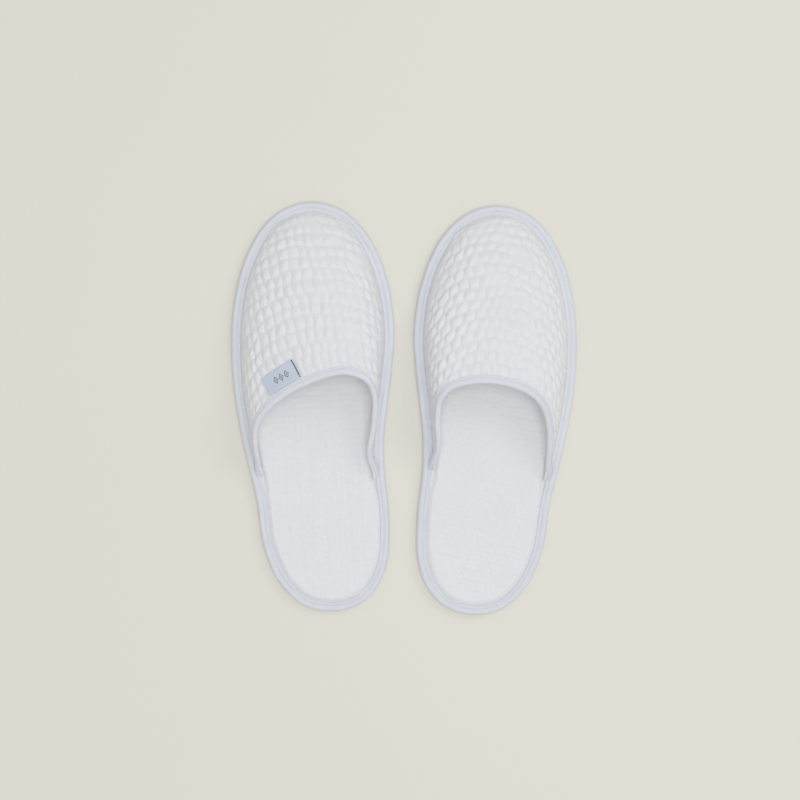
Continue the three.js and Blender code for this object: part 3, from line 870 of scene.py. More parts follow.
def settled_upper(slipper, low=-0.5, high=2.2):
    around, up = COARSE_GRID
    points, normals, _ = slipper.frame(around, up)
    pinned = np.zeros(points.shape[:2], bool)
    pinned[:2] = pinned[-2:] = pinned[:, :2] = pinned[:, -3:] = True
    moved = settle(points, normals, pinned, pressure=0.35, slack=0.012)
    x, y = points[..., 0], points[..., 1]
    slump = 0.55 * drift(x, y, 34, 61) + 0.3 * drift(x, y, 17, 62)
    free = np.minimum(smoothstep(up, 0, 0.3), smoothstep(1 - up, 0.02, 0.3))
    free = free * smoothstep(1 - abs(2 * around - 1), 0, 0.1)
    return np.clip(moved + slump * free, low, high)


for slipper in SLIPPERS:
    slipper.puff = settled_upper(slipper)
    print(slipper.side, f"upper settles by {slipper.puff.min():.2f} to {slipper.puff.max():.2f} mm")

# %% [markdown]
# ## The upper's waffle cloth
# This is what the eye meets first, so its pillows are real shape and not only shading. The fine grid of
# the outer surface is pushed along its normals by the settled cloth and by the waffle's height, which
# fades out at the seams, where stitching flattens it. The inner face follows one cloth's thickness
# below, and a flange runs on under the sole's binding.

# %% The upper's waffle cloth
RELIEF = {"left": 1.9, "right": 1.95}
LABEL = {"length": 26.5, "height": 13.5, "thickness": 0.45}
LABEL.update(along_throat=77.8, lift=0.35, hinge_gap=0.3)  # where it sits


def seam_nip(around):
    """How far the cloth is drawn in beside the binding: more at the toe, where the tape shows wider."""
    return 0.6 + 1.0 * np.sin(np.pi * around) ** 2


def label_seat(slipper):
    """The label's middle on the cloth, the cloth's normal there, and the directions along and away from
    the throat."""
    shares = np.linspace(0, 1, 4001)
    around = np.interp(LABEL["along_throat"] / slipper.rim_length, crowd(shares, FAN), shares)
    reach = THROAT_BINDING_WIDTH + LABEL["hinge_gap"] + LABEL["height"] / 2
    up = slipper.up_at(np.array([around]), np.array([reach]))[0, 0]
    point, normal, _ = slipper.frame(around, up)
    ahead = slipper.surface(around + 0.004, 1.0) - slipper.surface(around - 0.004, 1.0)
    along = unit(ahead - (ahead @ normal) * normal)
    return around, up, point, normal, along, np.cross(normal, along)


def cloth_puff(slipper, sheet):
    """At every point: the settled movement, the waffle's height, how much of it the seams leave, and
    the tucks beside the seams, a sine wave along them that dies away."""
    down = np.linalg.norm(np.diff(sheet, axis=1), axis=2)
    climbed = np.concatenate([np.zeros((len(sheet), 1)), np.cumsum(down, axis=1)], axis=1)
    left = climbed[:, -1:] - climbed
    pattern = refine(slipper.pattern, *sheet.shape[:2])
    slipper.fine_pattern = pattern
    fade = smoothstep(climbed, 1, 6) * (0.5 + 0.5 * smoothstep(climbed, 4, 24))
    fade = fade * smoothstep(left, 4.4, 6.8)
    waffle = UPPER_WAFFLES[slipper.side].height(pattern[..., 0], pattern[..., 1])
    if slipper.side == "left":
        _, _, middle, _, along, away = label_seat(slipper)
        a, b = (sheet - middle) @ along, (sheet - middle) @ away
        lies = smoothstep(-abs(a), -LABEL["length"] / 2 - 2, -LABEL["length"] / 2 + 0.5)
        lies = lies * smoothstep(-abs(b), -LABEL["height"] / 2 - 2, -LABEL["height"] / 2 + 0.5)
        fade = fade * (1 - 0.88 * lies)
    tucks = np.sin(2 * np.pi * pattern[..., 0] / 4.6)
    tucks = tucks * (np.exp(-((left - 6) / 3.5) ** 2) + 0.8 * np.exp(-((climbed - 2.5) / 2.0) ** 2))
    settled = refine(slipper.puff[..., None], *sheet.shape[:2])[..., 0]
    return settled, waffle, fade, 0.16 * tucks * smoothstep(climbed, 0, 1) * smoothstep(left, 4.2, 5.5)


def upper_cloth(slipper, stations=521, rows=127, inner_rows=20):
    around, up = np.linspace(0, 1, stations)[:, None], np.linspace(0, 1, rows)[None]
    sheet, normal, _ = slipper.frame(around, up)
    settled, waffle, fade, tucks = cloth_puff(slipper, sheet)
    nip = seam_nip(around) * np.exp(-up * 25)
    pulled_tight = 1 - 0.85 * (1 - np.clip(normal[..., 2], 0, 1))
    lift = settled + RELIEF[slipper.side] * waffle * fade * pulled_tight + tucks - nip
    outside = sheet + normal * lift[..., None]
    deep_up = np.linspace(1, 0, inner_rows)[None]
    deep, deep_normal, _ = slipper.frame(around, deep_up)
    follow = refine(slipper.puff[:, ::-1, None], stations, inner_rows)[..., 0]
    nipped = 0.15 * smoothstep(deep_up, 0.93, 0.99)
    inside = deep - deep_normal * (CLOTH - nipped - np.maximum(follow, 0))[..., None]
    shares = slipper.start + (slipper.end - slipper.start) * around
    flange = lambda insets, z: np.concatenate(
        [edge(shares, np.array(insets)[None]), np.full((stations, len(insets), 1), z)], axis=-1
    )
    out_flange = flange([LAYER_INSET, 3.0, 4.6, 5.6], FLANGE_BASE + 0.8)
    in_flange = flange([6.8, 5.0, 3.2, LAYER_INSET], FLANGE_BASE)
    inside[:, -1] = in_flange[:, 0] + (0.2, 0, 0.6)
    grid = np.concatenate([out_flange, outside, inside, in_flange], axis=1)
    pattern = slipper.fine_pattern
    uv = [np.repeat(pattern[:, :1], 4, axis=1), pattern, refine(pattern[:, ::-1], stations, inner_rows)]
    uv = np.concatenate([*uv, np.repeat(pattern[:, :1], 4, axis=1)], axis=1)
    marks = marks_of(grid, waffle, 4)
    piece = shell(slipper, f"{slipper.side}_upper_waffle_cloth", grid, uv=uv, marks=marks)
    area = np.cross(np.diff(sheet[:-1], axis=1), np.diff(sheet[:, :-1], axis=0))
    area = np.linalg.norm(area, axis=-1).sum()
    size = extent(pattern)
    slipper.cut_area = area
    size[0] * MM
    size[1] * MM
    print(f"{slipper.side} upper: cut from {size[0]:.0f} by {size[1]:.0f} mm, {area / 100:.0f} square cm")
    return belong(piece, slipper, "waffle_cloth", WAFFLE_CLOTH[slipper.side], "upper_cloth")


def marks_of(grid, waffle, first):
    """The waffle's height as one number a point, 1 where there is no waffle; the finish paints shade where it
    is low.
    """
    marks = np.ones(grid.shape[:2])
    marks[:, first: first + waffle.shape[1]] = np.maximum(waffle, 0)
    return marks


for slipper in SLIPPERS:
    upper_cloth(slipper)

# %% [markdown]
# ## The lining and the foam behind it
# Behind the waffle cloth lies a thin foam, and behind that a plain lining, which shows inside the
# throat. Both are sheets under the same surface at greater depths. The foam stops short of the seams,
# so the lining comes forward there, and it wavers a little, because nothing stretches it.

# %% The lining and the foam


def layer(slipper, stations, ups, depth, thickness, wave=0.0):
    """A sheet's profile: up its outer face at `depth` under the surface, then down its inner face,
    never lower than just above the insole."""
    around = np.linspace(0, 1, stations)[:, None]
    around = np.clip(around, *ups["span"])
    share = np.linspace(0, 1, ups["rows"])[None]
    low = ups["low"](around)
    point, normal, _ = slipper.frame(around, low + (ups["high"](around) - low) * share)
    waver = wave * drift(point[..., 0], point[..., 1], 16, 71) * np.sin(np.pi * share)
    depth = depth(around, share) + waver
    skins = [point - normal * (depth + extra)[..., None] for extra in (0, thickness)]
    floor_z = COVER_TOP + GAP + 0.05 * share * ups["rows"]
    for skin in skins:
        skin[..., 2] = np.maximum(skin[..., 2], floor_z)
    run = around * (slipper.end - slipper.start) * OUTLINE_LENGTH
    uv = np.stack(np.broadcast_arrays(run, share * 60), axis=-1)
    grid = np.concatenate([skins[0], skins[1][:, ::-1]], axis=1)
    return grid, np.concatenate([uv, uv[:, ::-1]], axis=1)


def seat_up(slipper):
    """The value of up where the surface passes the insole's top, at each place around."""
    ups = np.linspace(0, 1, 121)

    def find(around):
        heights = slipper.surface(around, ups[None])[..., 2]
        rank = (heights < COVER_TOP + GAP).sum(axis=1) - 1
        i = np.clip(rank, 0, 119)
        low, high = (np.take_along_axis(heights, (i + k)[:, None], 1) for k in (0, 1))
        return ups[i][:, None] + (COVER_TOP + GAP - low) / np.maximum(high - low, 1e-6) / 120

    return find


def upper_foam(slipper):
    edge_off = lambda around: slipper.up_at(around[:, 0], np.array([12.0]))
    ups = {"span": (0.07, 0.93), "low": seat_up(slipper), "high": edge_off, "rows": 22}
    depth = lambda around, share: CLOTH + GAP + 0 * (around + share)
    grid, uv = layer(slipper, 180, ups, depth, FOAM)
    piece = shell(slipper, f"{slipper.side}_upper_foam_pad", grid, uv=uv)
    return belong(piece, slipper, "padding_foam", PADDING_FOAM, "upper_foam")


def upper_lining(slipper):
    top = lambda around: slipper.up_at(around[:, 0], np.array([0.6]))
    ups = {"span": (0.0, 1.0), "low": seat_up(slipper), "high": top, "rows": 56}

    def depth(around, share):
        padded = smoothstep(around, 0.04, 0.1) * smoothstep(1 - around, 0.04, 0.1)
        nipped = smoothstep(share, 0.9, 0.99)
        return 1.5 - 0.4 * nipped + (FOAM + GAP) * padded * (1 - smoothstep(share, 0.80, 0.93))

    grid, uv = layer(slipper, 300, ups, depth, LINING, wave=0.3)
    piece = shell(slipper, f"{slipper.side}_upper_lining_cloth", grid, uv=uv)
    size = extent(slipper.pattern)
    size[0] * MM
    size[1] * MM
    return belong(piece, slipper, "lining_cloth", LINING_CLOTH, "upper_lining")


for slipper in SLIPPERS:
    upper_foam(slipper)
    upper_lining(slipper)

# %% [markdown]
# ## The throat's binding
# A tape is folded over the throat's raw edge and sewn through. Its profile is a rounded fold with a leg
# on each side, pressed in along the stitches, and it is carried along the throat's edge. Each stitch
# pulls the tape in a little more, so its surface ripples.

# %% The throat's binding
STITCH_PITCH = 2.6
STITCH_SHARE = 0.68  # of the tape's leg, from its fold down to the stitches
STITCH_PULL = 0.14  # how far a stitch draws the tape in
NIPPED_STACK = 1.65  # the cloth and the lining, pressed together inside the tape
END_OUT, END_DOWN, END_RUN = 2.4, 1.9, 16  # how the tape's ends are led to the sole, and over what length


def stitch_wave(run):
    """1 at each stitch and 0 between two: half of 1 plus the cosine of the run, a full turn to each
    pitch."""
    return 0.5 + 0.5 * np.cos(2 * np.pi * run / STITCH_PITCH)


def rounded(points, count):
    """A closed profile with rounded corners, at `count` points evenly spaced."""
    return evenly(smooth_curve(points, closed=True, per_span=30), count + 1)[0][:-1]


def throat_stations(slipper, count):
    """Places around the upper that are evenly spaced along the throat's edge, and how far along it they
    lie."""
    shares = np.linspace(0, 1, 4001)
    at = np.linspace(0, 1, count)
    return np.interp(at, crowd(shares, FAN), shares), at * slipper.rim_length


def throat_leg(slipper, around):
    """How far the tape reaches down the wall: its whole width, or less where the wall itself is low."""
    wall = slipper.surface(around[:, None], np.linspace(0, 1, 61)[None])
    length = np.linalg.norm(np.diff(wall, axis=1), axis=2).sum(axis=1)
    return np.minimum(THROAT_BINDING_WIDTH, 0.45 * length)


def pressed(leg):
    """How much of its full height the tape keeps where its leg is short: 0.3 at the wings' ends, 1
    elsewhere."""
    return smoothstep(leg, 0.8, 4.5) * 0.7 + 0.3


def led_in(slipper, points, around, run):
    """Moves points outwards and down at the very ends of the throat, and less before them."""
    near = 1 - smoothstep(np.minimum(run, slipper.rim_length - run), 0, END_RUN)
    share = slipper.start + (slipper.end - slipper.start) * around
    outward = edge(share, -1.0) - edge(share, 0.0)
    move = np.concatenate([END_OUT * outward, np.full(outward.shape[:-1] + (1,), -END_DOWN)], axis=-1)
    move = move * near[:, None]
    return points + (move[:, None] if points.ndim == 3 else move)


def throat_profile():
    """Points of (share of the leg, height off the cloth, height past the edge). Depths below the cloth
    count as negative heights. It goes up the outer face, over the fold, down the inner one and back
    inside."""
    out, back = 0.15, -NIPPED_STACK - 0.15
    return np.array([
        (1.00, out + 0.08, 0), (1.03, out + 0.35, 0), (0.97, out + 0.62, 0), (0.86, out + 0.70, 0),
        (0.76, out + 0.58, 0), (0.68, out + 0.42, 0), (0.60, out + 0.62, 0), (0.48, out + 0.88, 0),
        (0.30, out + 0.98, 0), (0.12, out + 0.88, 0), (0.00, out + 0.62, 0.2), (0.00, out + 0.15, 0.6),
        (0.00, -NIPPED_STACK / 2, 0.85), (0.00, back - 0.15, 0.6), (0.00, back - 0.55, 0.2),
        (0.14, back - 0.75, 0), (0.40, back - 0.80, 0), (0.58, back - 0.60, 0), (0.68, back - 0.42, 0),
        (0.78, back - 0.58, 0), (0.90, back - 0.66, 0), (1.00, back - 0.55, 0), (1.03, back - 0.3, 0),
        (1.00, back - 0.05, 0), (0.70, back, 0), (0.30, back, 0), (0.00, back + 0.1, 0.05),
        (0.00, -NIPPED_STACK / 2, 0.2), (0.00, out - 0.1, 0.05), (0.30, out, 0), (0.70, out, 0),
    ])


def along_throat(slipper, around, run, profile):
    """The profile at every station: down the wall by its leg's share, off the cloth along the normal
    and past the edge along the rise. Stations are [n], the profile is [m] of three numbers."""
    leg = throat_leg(slipper, around)
    share, height, past = (profile[:, k][None] for k in range(3))
    up = slipper.up_at(around, leg[:, None] * share)
    point, normal, rise = slipper.frame(around[:, None], up)
    pull = np.exp(-((share - STITCH_SHARE) / 0.2) ** 2) * stitch_wave(run[:, None])
    outer = (height > 0.2) * (past == 0)
    ripple = 0.12 * drift(*np.broadcast_arrays(run[:, None], 9 * share), 7, 83) * (height > 0.3)
    squash = pressed(leg)[:, None]
    height = np.where(height > 0.15, 0.15 + (height - 0.15) * squash, height)
    height = height - STITCH_PULL * pull * outer + ripple
    return point + normal * height[..., None] + rise * (past * squash)[..., None]


def throat_binding(slipper, stations=561, count=46):
    around, run = throat_stations(slipper, stations)
    in_mm = (THROAT_BINDING_WIDTH, 1, 1)
    section = rounded(throat_profile() * in_mm, count)
    grid = led_in(slipper, along_throat(slipper, around, run, section / in_mm), around, run)
    width = np.cumsum(np.linalg.norm(np.diff(section, axis=0, prepend=section[:1]), axis=1))
    uv = np.stack(np.broadcast_arrays(width[None], run[:, None]), axis=-1)
    piece = shell(slipper, f"{slipper.side}_throat_binding_tape", grid, uv=uv)
    return belong(piece, slipper, "binding_tape", BINDING_TAPE, "throat_binding")


for slipper in SLIPPERS:
    throat_binding(slipper)

# %% [markdown]
# ## The sole's binding
# The same tape runs round the sole and holds all its layers together. From above it is a round roll at
# the edge, then the groove that the stitches pull in, then a small ridge, which is the tape's folded
# edge. The profile is carried round the whole outline as a closed ring.

# %% The sole's binding


def binding_top(share, slipper):
    """The tape lies higher beside the upper, whose flange is inside it, than round the heel."""
    behind = np.maximum(slipper.start - share, share - slipper.end) * OUTLINE_LENGTH
    return BINDING_TOP + (BINDING_TOP_AT_HEEL - BINDING_TOP) * smoothstep(behind, 1, 16)


def sole_binding_profile():
    """Points of (inset, height, how much the height follows the top): over the roll from the upper edge
    to the under edge, then back inside. Heights that follow the top count from it, the others from the
    base."""
    top = [(5.62, -0.62), (5.85, -0.3), (5.75, 0.06), (5.35, 0.24), (4.85, 0.26), (4.4, 0.14), (4.0, 0.02),
           (3.6, 0.12), (3.1, 0.28), (2.4, 0.42), (1.6, 0.3), (0.9, -0.06), (0.35, -0.75), (0.02, -1.9)]
    base = [(-0.05, 3.0), (0.0, 1.9), (0.25, 0.9), (0.8, 0.25), (1.6, 0.0), (3.2, 0.0), (5.2, 0.0),
            (7.0, 0.0), (7.25, 0.3), (7.0, 0.66), (5.0, 0.7), (3.0, 0.7), (1.7, 0.7), (0.95, 1.1), (0.75, 2.0)]
    inside = [(0.75, -1.6), (1.15, -0.85), (2.0, -0.7), (3.0, -0.7), (4.4, -0.7), (5.2, -0.7)]
    rows = [(i, z, 1) for i, z in top] + [(i, z, 0) for i, z in base] + [(i, z, 1) for i, z in inside]
    return np.array(rows)


def sole_binding(slipper, stations=880, count=58):
    share = np.arange(stations) / stations
    top = binding_top(share, slipper)[:, None]
    points = sole_binding_profile()
    inset, height, follows = (points[:, k][None] for k in range(3))
    z = np.where(follows > 0, top + height, BINDING_BASE + height)
    run = share[:, None] * OUTLINE_LENGTH
    pull = np.exp(-((inset - 4.0) / 0.8) ** 2) * (follows > 0) * (height > -0.6)
    pull = pull * stitch_wave(run)
    run_at, inset_at = np.broadcast_arrays(run, inset)
    sway = drift(run_at, inset_at, 9, 97) + 0.6 * drift(run_at, inset_at, 3.5, 98)
    outer = (follows > 0) * (height > -0.6) + (follows == 0) * (inset < 1.5) * 0.6
    z = z - STITCH_PULL * pull + 0.13 * sway * outer * (inset > 0.6)
    around = np.clip((share - slipper.start) / (slipper.end - slipper.start), 0, 1)[:, None]
    wider = (seam_nip(around) - 0.1) * smoothstep(inset, 3.6, 5.4) * (follows > 0)
    inset = inset + wider + 0.12 * sway * (inset < 1.2) * (height > -2.5) - 0.05
    plan = edge(share[:, None], inset)
    grid = np.concatenate([plan, z[..., None]], axis=-1)
    steps = np.linalg.norm(np.diff(grid, axis=1, append=grid[:, :1]), axis=2)
    width = np.linspace(0, steps.sum(axis=1).mean(), count, endpoint=False)
    grid = resample(grid, count)
    along = np.linspace(0, OUTLINE_LENGTH, stations + 1)
    uv = np.stack(np.broadcast_arrays(width[None], along[:, None]), axis=-1)
    piece = shell(slipper, f"{slipper.side}_sole_binding_tape", grid, uv=uv, ring=True)
    return belong(piece, slipper, "binding_tape", BINDING_TAPE, "sole_binding")


def resample(grid, count):
    """Each closed profile of a grid as a smooth curve, at `count` points: weights of a uniform
    Catmull-Rom curve, the same for every station, so this is one matrix product."""
    m = grid.shape[1]
    at = np.linspace(0, m, count, endpoint=False)
    i, s = at.astype(int), at - at.astype(int)
    weights = np.zeros((count, m))
    basis = (2 * s**2 - s**3 - s, 2 - 5 * s**2 + 3 * s**3, s + 4 * s**2 - 3 * s**3, s**3 - s**2)
    for k, weight in enumerate(basis):
        weights[np.arange(count), (i + k - 1) % m] += 0.5 * weight
    return np.einsum("cm,smk->sck", weights, grid)


for slipper in SLIPPERS:
    sole_binding(slipper)

# %% [markdown]
# ## The stitches
# Each seam is a row of short stitches. One stitch is a small spindle of thread whose ends dive into the
# tape. The same spindle is set at every place along the seam, in one mesh per seam, so it has only a
# few dozen faces.

# %% The stitches
SPINDLE_SIDES, SPINDLE_RINGS = 6, 6


def stitch_row(slipper, name, middle, ahead, outward, radius, length, node=None):
    """Spindles at `middle` along `ahead`: radius times a square root of a sine along them, and a bow
    that dips both ends against `outward`."""
    u = np.linspace(0, 1, SPINDLE_RINGS)[:, None]
    v = np.linspace(0, 2 * np.pi, SPINDLE_SIDES, endpoint=False)[None]
    width = radius * np.maximum(np.sin(np.pi * np.clip(u, 0.03, 0.97)), 0) ** 0.45
    bow = radius * 0.9 * (1 - (2 * u - 1) ** 2) - radius * 0.9
    side = np.cross(outward, ahead)
    shapes = (u - 0.5) * length + 0 * v, bow + width * np.cos(v), width * np.sin(v)
    parts = (
        way[:, None, None] * shape[None, ..., None] for way, shape in zip((ahead, outward, side), shapes)
    )
    grid = middle[:, None, None] + sum(parts)
    count = len(middle)
    index = np.arange(count * SPINDLE_RINGS * SPINDLE_SIDES).reshape(count, SPINDLE_RINGS, SPINDLE_SIDES)
    index = np.concatenate([index, index[..., :1]], axis=2)
    quads = [index[:, :-1, :-1], index[:, :-1, 1:], index[:, 1:, 1:], index[:, 1:, :-1]]
    quads = np.stack(quads, -1).reshape(-1, 4)
    ends = np.concatenate([index[:, 0, :-1][:, ::-1], index[:, -1, :-1]])
    flip = slipper.mirror > 0
    quads, ends = (quads, ends) if flip else (quads[:, ::-1], ends[:, ::-1])
    mesh = bpy.data.meshes.new(name)
    mesh.from_pydata(slipper.place(grid).reshape(-1, 3).tolist(), [], quads.tolist() + ends.tolist())
    outline = np.stack(np.broadcast_arrays((u * length), v * radius * 2), axis=-1)
    flat = np.broadcast_to(outline, (count, SPINDLE_RINGS, SPINDLE_SIDES, 2)).reshape(-1, 2) * MM
    corners = np.empty(len(mesh.loops), np.int32)
    mesh.loops.foreach_get("vertex_index", corners)
    mesh.uv_layers.new(name="cloth").data.foreach_set("uv", flat[corners].ravel())
    work = bmesh.new()
    work.from_mesh(mesh)
    bmesh.ops.recalc_face_normals(work, faces=work.faces)
    work.to_mesh(mesh)
    work.free()
    piece = finish_mesh(name, mesh, merge=1e-8)
    return belong(piece, slipper, "sewing_thread", SEWING_THREAD, *([node] if node else []))


def sole_stitches(slipper):
    count = int(OUTLINE_LENGTH / STITCH_PITCH)
    share = (np.arange(count) + 0.5) / count
    plan = edge(share, SOLE_STITCH_INSET)
    ahead = unit(edge(share + 1e-3, SOLE_STITCH_INSET) - edge(share - 1e-3, SOLE_STITCH_INSET))
    ahead = np.concatenate([ahead, np.zeros((count, 1))], axis=1)
    upward = np.tile([0.0, 0.0, 1.0], (count, 1))
    top = np.concatenate([plan, (binding_top(share, slipper) + 0.08)[:, None]], axis=1)
    under = np.concatenate([plan, np.full((count, 1), BINDING_BASE - 0.16)], axis=1)
    name = f"{slipper.side}_sole"
    stitch_row(slipper, f"{name}_top_stitches", top, ahead, upward, 0.27, 2.3, "sole_needle_thread")
    stitch_row(slipper, f"{name}_under_stitches", under, ahead, -upward, 0.24, 2.3, "sole_bobbin_thread")


def throat_stitches(slipper):
    count = int(slipper.rim_length / STITCH_PITCH)
    around, run = (row[4:-4] for row in throat_stations(slipper, count))
    leg = throat_leg(slipper, around)
    up = slipper.up_at(around, leg[:, None] * STITCH_SHARE)[:, 0]
    point, normal, _ = slipper.frame(around, up)
    ahead = unit(np.gradient(point, axis=0))
    squash = pressed(leg)[:, None]
    outer, inner = (
        led_in(slipper, point + normal * height, around, run)
        for height in (0.15 + 0.58 * squash, -(NIPPED_STACK + 0.65))
    )
    name = f"{slipper.side}_throat"
    stitch_row(slipper, f"{name}_outer_stitches", outer, ahead, normal, 0.26, 2.25, "throat_needle_thread")
    stitch_row(slipper, f"{name}_inner_stitches", inner, ahead, -normal, 0.24, 2.25, "throat_bobbin_thread")


for slipper in SLIPPERS:
    sole_stitches(slipper)
    throat_stitches(slipper)

# %% [markdown]
# ## The layers of the sole
# The outsole, the foam and the insole's cover are plates cut to the outline. A plate's grid has rows
# that run from the lateral edge in to a spine down the middle of the sole and out to the medial edge.
# Near the edge its points keep exact insets, which the folds there need, and at toe and heel the rows
# fan round the ends of the spine.

# %% A plate's grid
TOE_SHARE = SHARES[np.argmax(OUTLINE[:, 1])]
SPINE_SHARE = 1 - 42 / (SOLE_LENGTH / 2)  # the spine stops 42 mm short of toe and heel


def plate_plan(rows, insets, inner):
    """Plan points [row, column] and how deep each lies inside the edge."""
    f = np.linspace(0, 1, rows)[:, None]
    shares = (TOE_SHARE * f, 1 - (1 - TOE_SHARE) * f)
    sides = [edge(share, 0 * f)[:, 0] for share in shares]
    spine = (sides[0] + sides[1]) / 2 * (1, SPINE_SHARE)
    halves, depths = [], []
    for share in shares:
        near = edge(share, np.array(insets)[None])
        t = np.linspace(0, 1, inner + 1)[1:][None, :, None]
        far = near[:, -1:] + (spine[:, None] - near[:, -1:]) * t
        reach = insets[-1] + np.linalg.norm(spine - near[:, -1], axis=1)[:, None] * t[..., 0]
        halves.append(np.concatenate([near, far], axis=1))
        depths.append(np.concatenate([np.broadcast_to(insets, near.shape[:2]), reach], axis=1))
    plan = np.concatenate([halves[0], halves[1][:, -2::-1]], axis=1)
    return plan, np.concatenate([depths[0], depths[1][:, -2::-1]], axis=1)


def plate(slipper, name, top, under, marks=None):
    """A closed plate from its top and its underside, each (plan, heights)."""
    sides = [np.concatenate([plan, z[..., None]], axis=-1) for plan, z in (top, under)]
    grid = np.concatenate([sides[0], sides[1][:, ::-1]], axis=1)
    if marks is not None:
        marks = np.concatenate([marks, np.ones(under[1].shape)], axis=1)
    return shell(slipper, name, grid, uv=grid[..., :2].copy(), marks=marks, caps=False)


# %% [markdown]
# ## The insole's cover
# The cover is the same waffle cloth, washed flatter by the foot's side of the sole: its pillows are
# low, each with smaller ones in it. It is drawn over the pad and sewn in under the binding, so beside
# the seam it puckers. It settles over its foam the way the upper does, pinned all round and swelling a
# little in the middle.

# %% The insole's cover
PAD_RISE, SHOULDER = 7.6, 1.4


def insole_heights(slipper, plan, depth):
    """The cover's outer face: a rim, a round shoulder, then the pad's top with its low waffle and its
    puckers."""
    x, y = plan[..., 0], plan[..., 1]
    start = PAD_RISE - 1.5 * smoothstep(-y, 48, 64)
    rise = smoothstep(depth, start - 0.2, start + 2.6 * SHOULDER)
    z = RIM_TOP + (COVER_TOP - RIM_TOP) * rise
    weave = INSOLE_WAFFLES[slipper.side]
    large = weave.height(x, y)
    half, turn = (weave.width / 2, weave.length / 2), np.degrees(weave.turn)
    small = Waffle(*half, turn, weave.stagger, weave.seed + 7).height(x, y)
    inner = smoothstep(depth, start + 0.5, start + 4.5)
    relief = (0.38 * large + 0.42 * small) * inner - 0.36 * inner
    slump = 0.35 * drift(x, y, 30, 103) * smoothstep(depth, 10, 30)
    run = 0 * depth + np.linspace(0, OUTLINE_LENGTH / 2, len(depth))[:, None]
    pinch = np.sin(2 * np.pi * run / 4.1 + 2.2 * drift(run, run * 0 + 3, 12, 107))
    pinch = pinch * np.exp(-((depth - start - 1.4) / 2.0) ** 2)
    # The second value is the waffle's height, which the finish reads to paint shade in the creases.
    return z + relief + slump + 0.26 * pinch, large * 0.45 + small * 0.55


def insole_cover(slipper, rows=470):
    insets = [LAYER_INSET, 3.5, 5.2, 5.9, 6.4, 6.9, 7.4, 7.9, 8.4, 9, 9.7, 10.5, 11.4, 12.4, 13.5, 14.7, 16]
    plan, depth = plate_plan(rows, insets, 56)
    z, marks = insole_heights(slipper, plan, depth)
    z = z + refine(slipper.pad_puff[..., None], *z.shape)[..., 0] * smoothstep(depth, 9, 24)
    low_insets = [LAYER_INSET, 5, 8.2, 9.4, 10.6, 12, 16]
    low_plan, low_depth = plate_plan(rows, low_insets, 8)
    low_z = PAD_BASE + (COVER_TOP - CLOTH - PAD_BASE) * smoothstep(low_depth, 8.6, 12.0)
    name = f"{slipper.side}_insole_waffle_cover"
    piece = plate(slipper, name, (plan, z), (low_plan, low_z), marks=marks)
    return belong(piece, slipper, "waffle_cloth", INSOLE_CLOTH[slipper.side], "insole_cover")


def settled_insole():
    plan, depth = plate_plan(61, [7.7, 9.5, 12, 16], 9)
    grid = np.concatenate([plan, np.full(depth.shape + (1,), COVER_TOP)], axis=-1)
    normals = np.zeros_like(grid)
    normals[..., 2] = 1
    pinned = np.zeros(depth.shape, bool)
    pinned[:2] = pinned[-2:] = pinned[:, :2] = pinned[:, -2:] = True
    return np.clip(settle(grid, normals, pinned, pressure=0.12, slack=0.004), -0.2, 0.5)


# The second colour is the painted shade in the creases between the insole's pillows.
INSOLE_CLOTH = {
    side: waffle_finish(f"insole_cloth_{side}", (242, 244, 249), (234, 236, 242)) for side in THROATS
}
for slipper in SLIPPERS:
    slipper.pad_puff = settled_insole()
    low, high = slipper.pad_puff.min(), slipper.pad_puff.max()
    print(slipper.side, f"insole settles by {low:.2f} to {high:.2f} mm")
    insole_cover(slipper)

# %% [markdown]
# ## The insole's foam
# Under the cover lies a pad of foam with round edges. It is the same plate, smaller by the fold of the
# cloth.

# %% The insole's foam


def insole_foam(slipper, rows=200):
    off = PAD_RISE + 2 * SHOULDER + GAP
    insets = [off, off + 0.3, off + 0.9, off + 2, off + 5]
    plan, depth = plate_plan(rows, insets, 14)
    crown = 0.5 * (1 - smoothstep(depth, off, off + 1.6))
    top, base = COVER_TOP - CLOTH - 0.2, PAD_BASE
    dimples = 0.06 * drift(plan[..., 0], plan[..., 1], 9, 131)
    name = f"{slipper.side}_insole_foam_pad"
    piece = plate(slipper, name, (plan, top - crown + dimples - 0.1), (plan, base + 0.5 * crown))
    return belong(piece, slipper, "padding_foam", PADDING_FOAM, "insole_foam")


for slipper in SLIPPERS:
    insole_foam(slipper)

# %% [markdown]
# ## The outsole
# The outsole is moulded. Its edge is cut away for the binding, and its underside has a tread: lozenges
# in rows, between shallow grooves, with a smooth border. The groove pattern is two families of slanting
# lines, and each point's distance to the nearest one gives its height.

# %% The outsole
GROOVE_PITCH, GROOVE_DEPTH = 7.0, 0.55
TREAD_BORDER, TREAD_SLOPE = 5, 1.4  # the smooth border, and where the grooves run out into it


def tread(x, y, depth):
    """How far the underside is pressed in: grooves along two slants, and none on the border."""
    slants = [(x * 0.9 + y * s * 0.55) / GROOVE_PITCH for s in (1, -1)]
    gap = np.minimum(*(abs(line - np.round(line)) * GROOVE_PITCH for line in slants))
    inside = smoothstep(depth, TREAD_INSET + TREAD_BORDER, TREAD_INSET + TREAD_BORDER + TREAD_SLOPE)
    return GROOVE_DEPTH * (1 - smoothstep(gap, 0.35, 1.0)) * inside


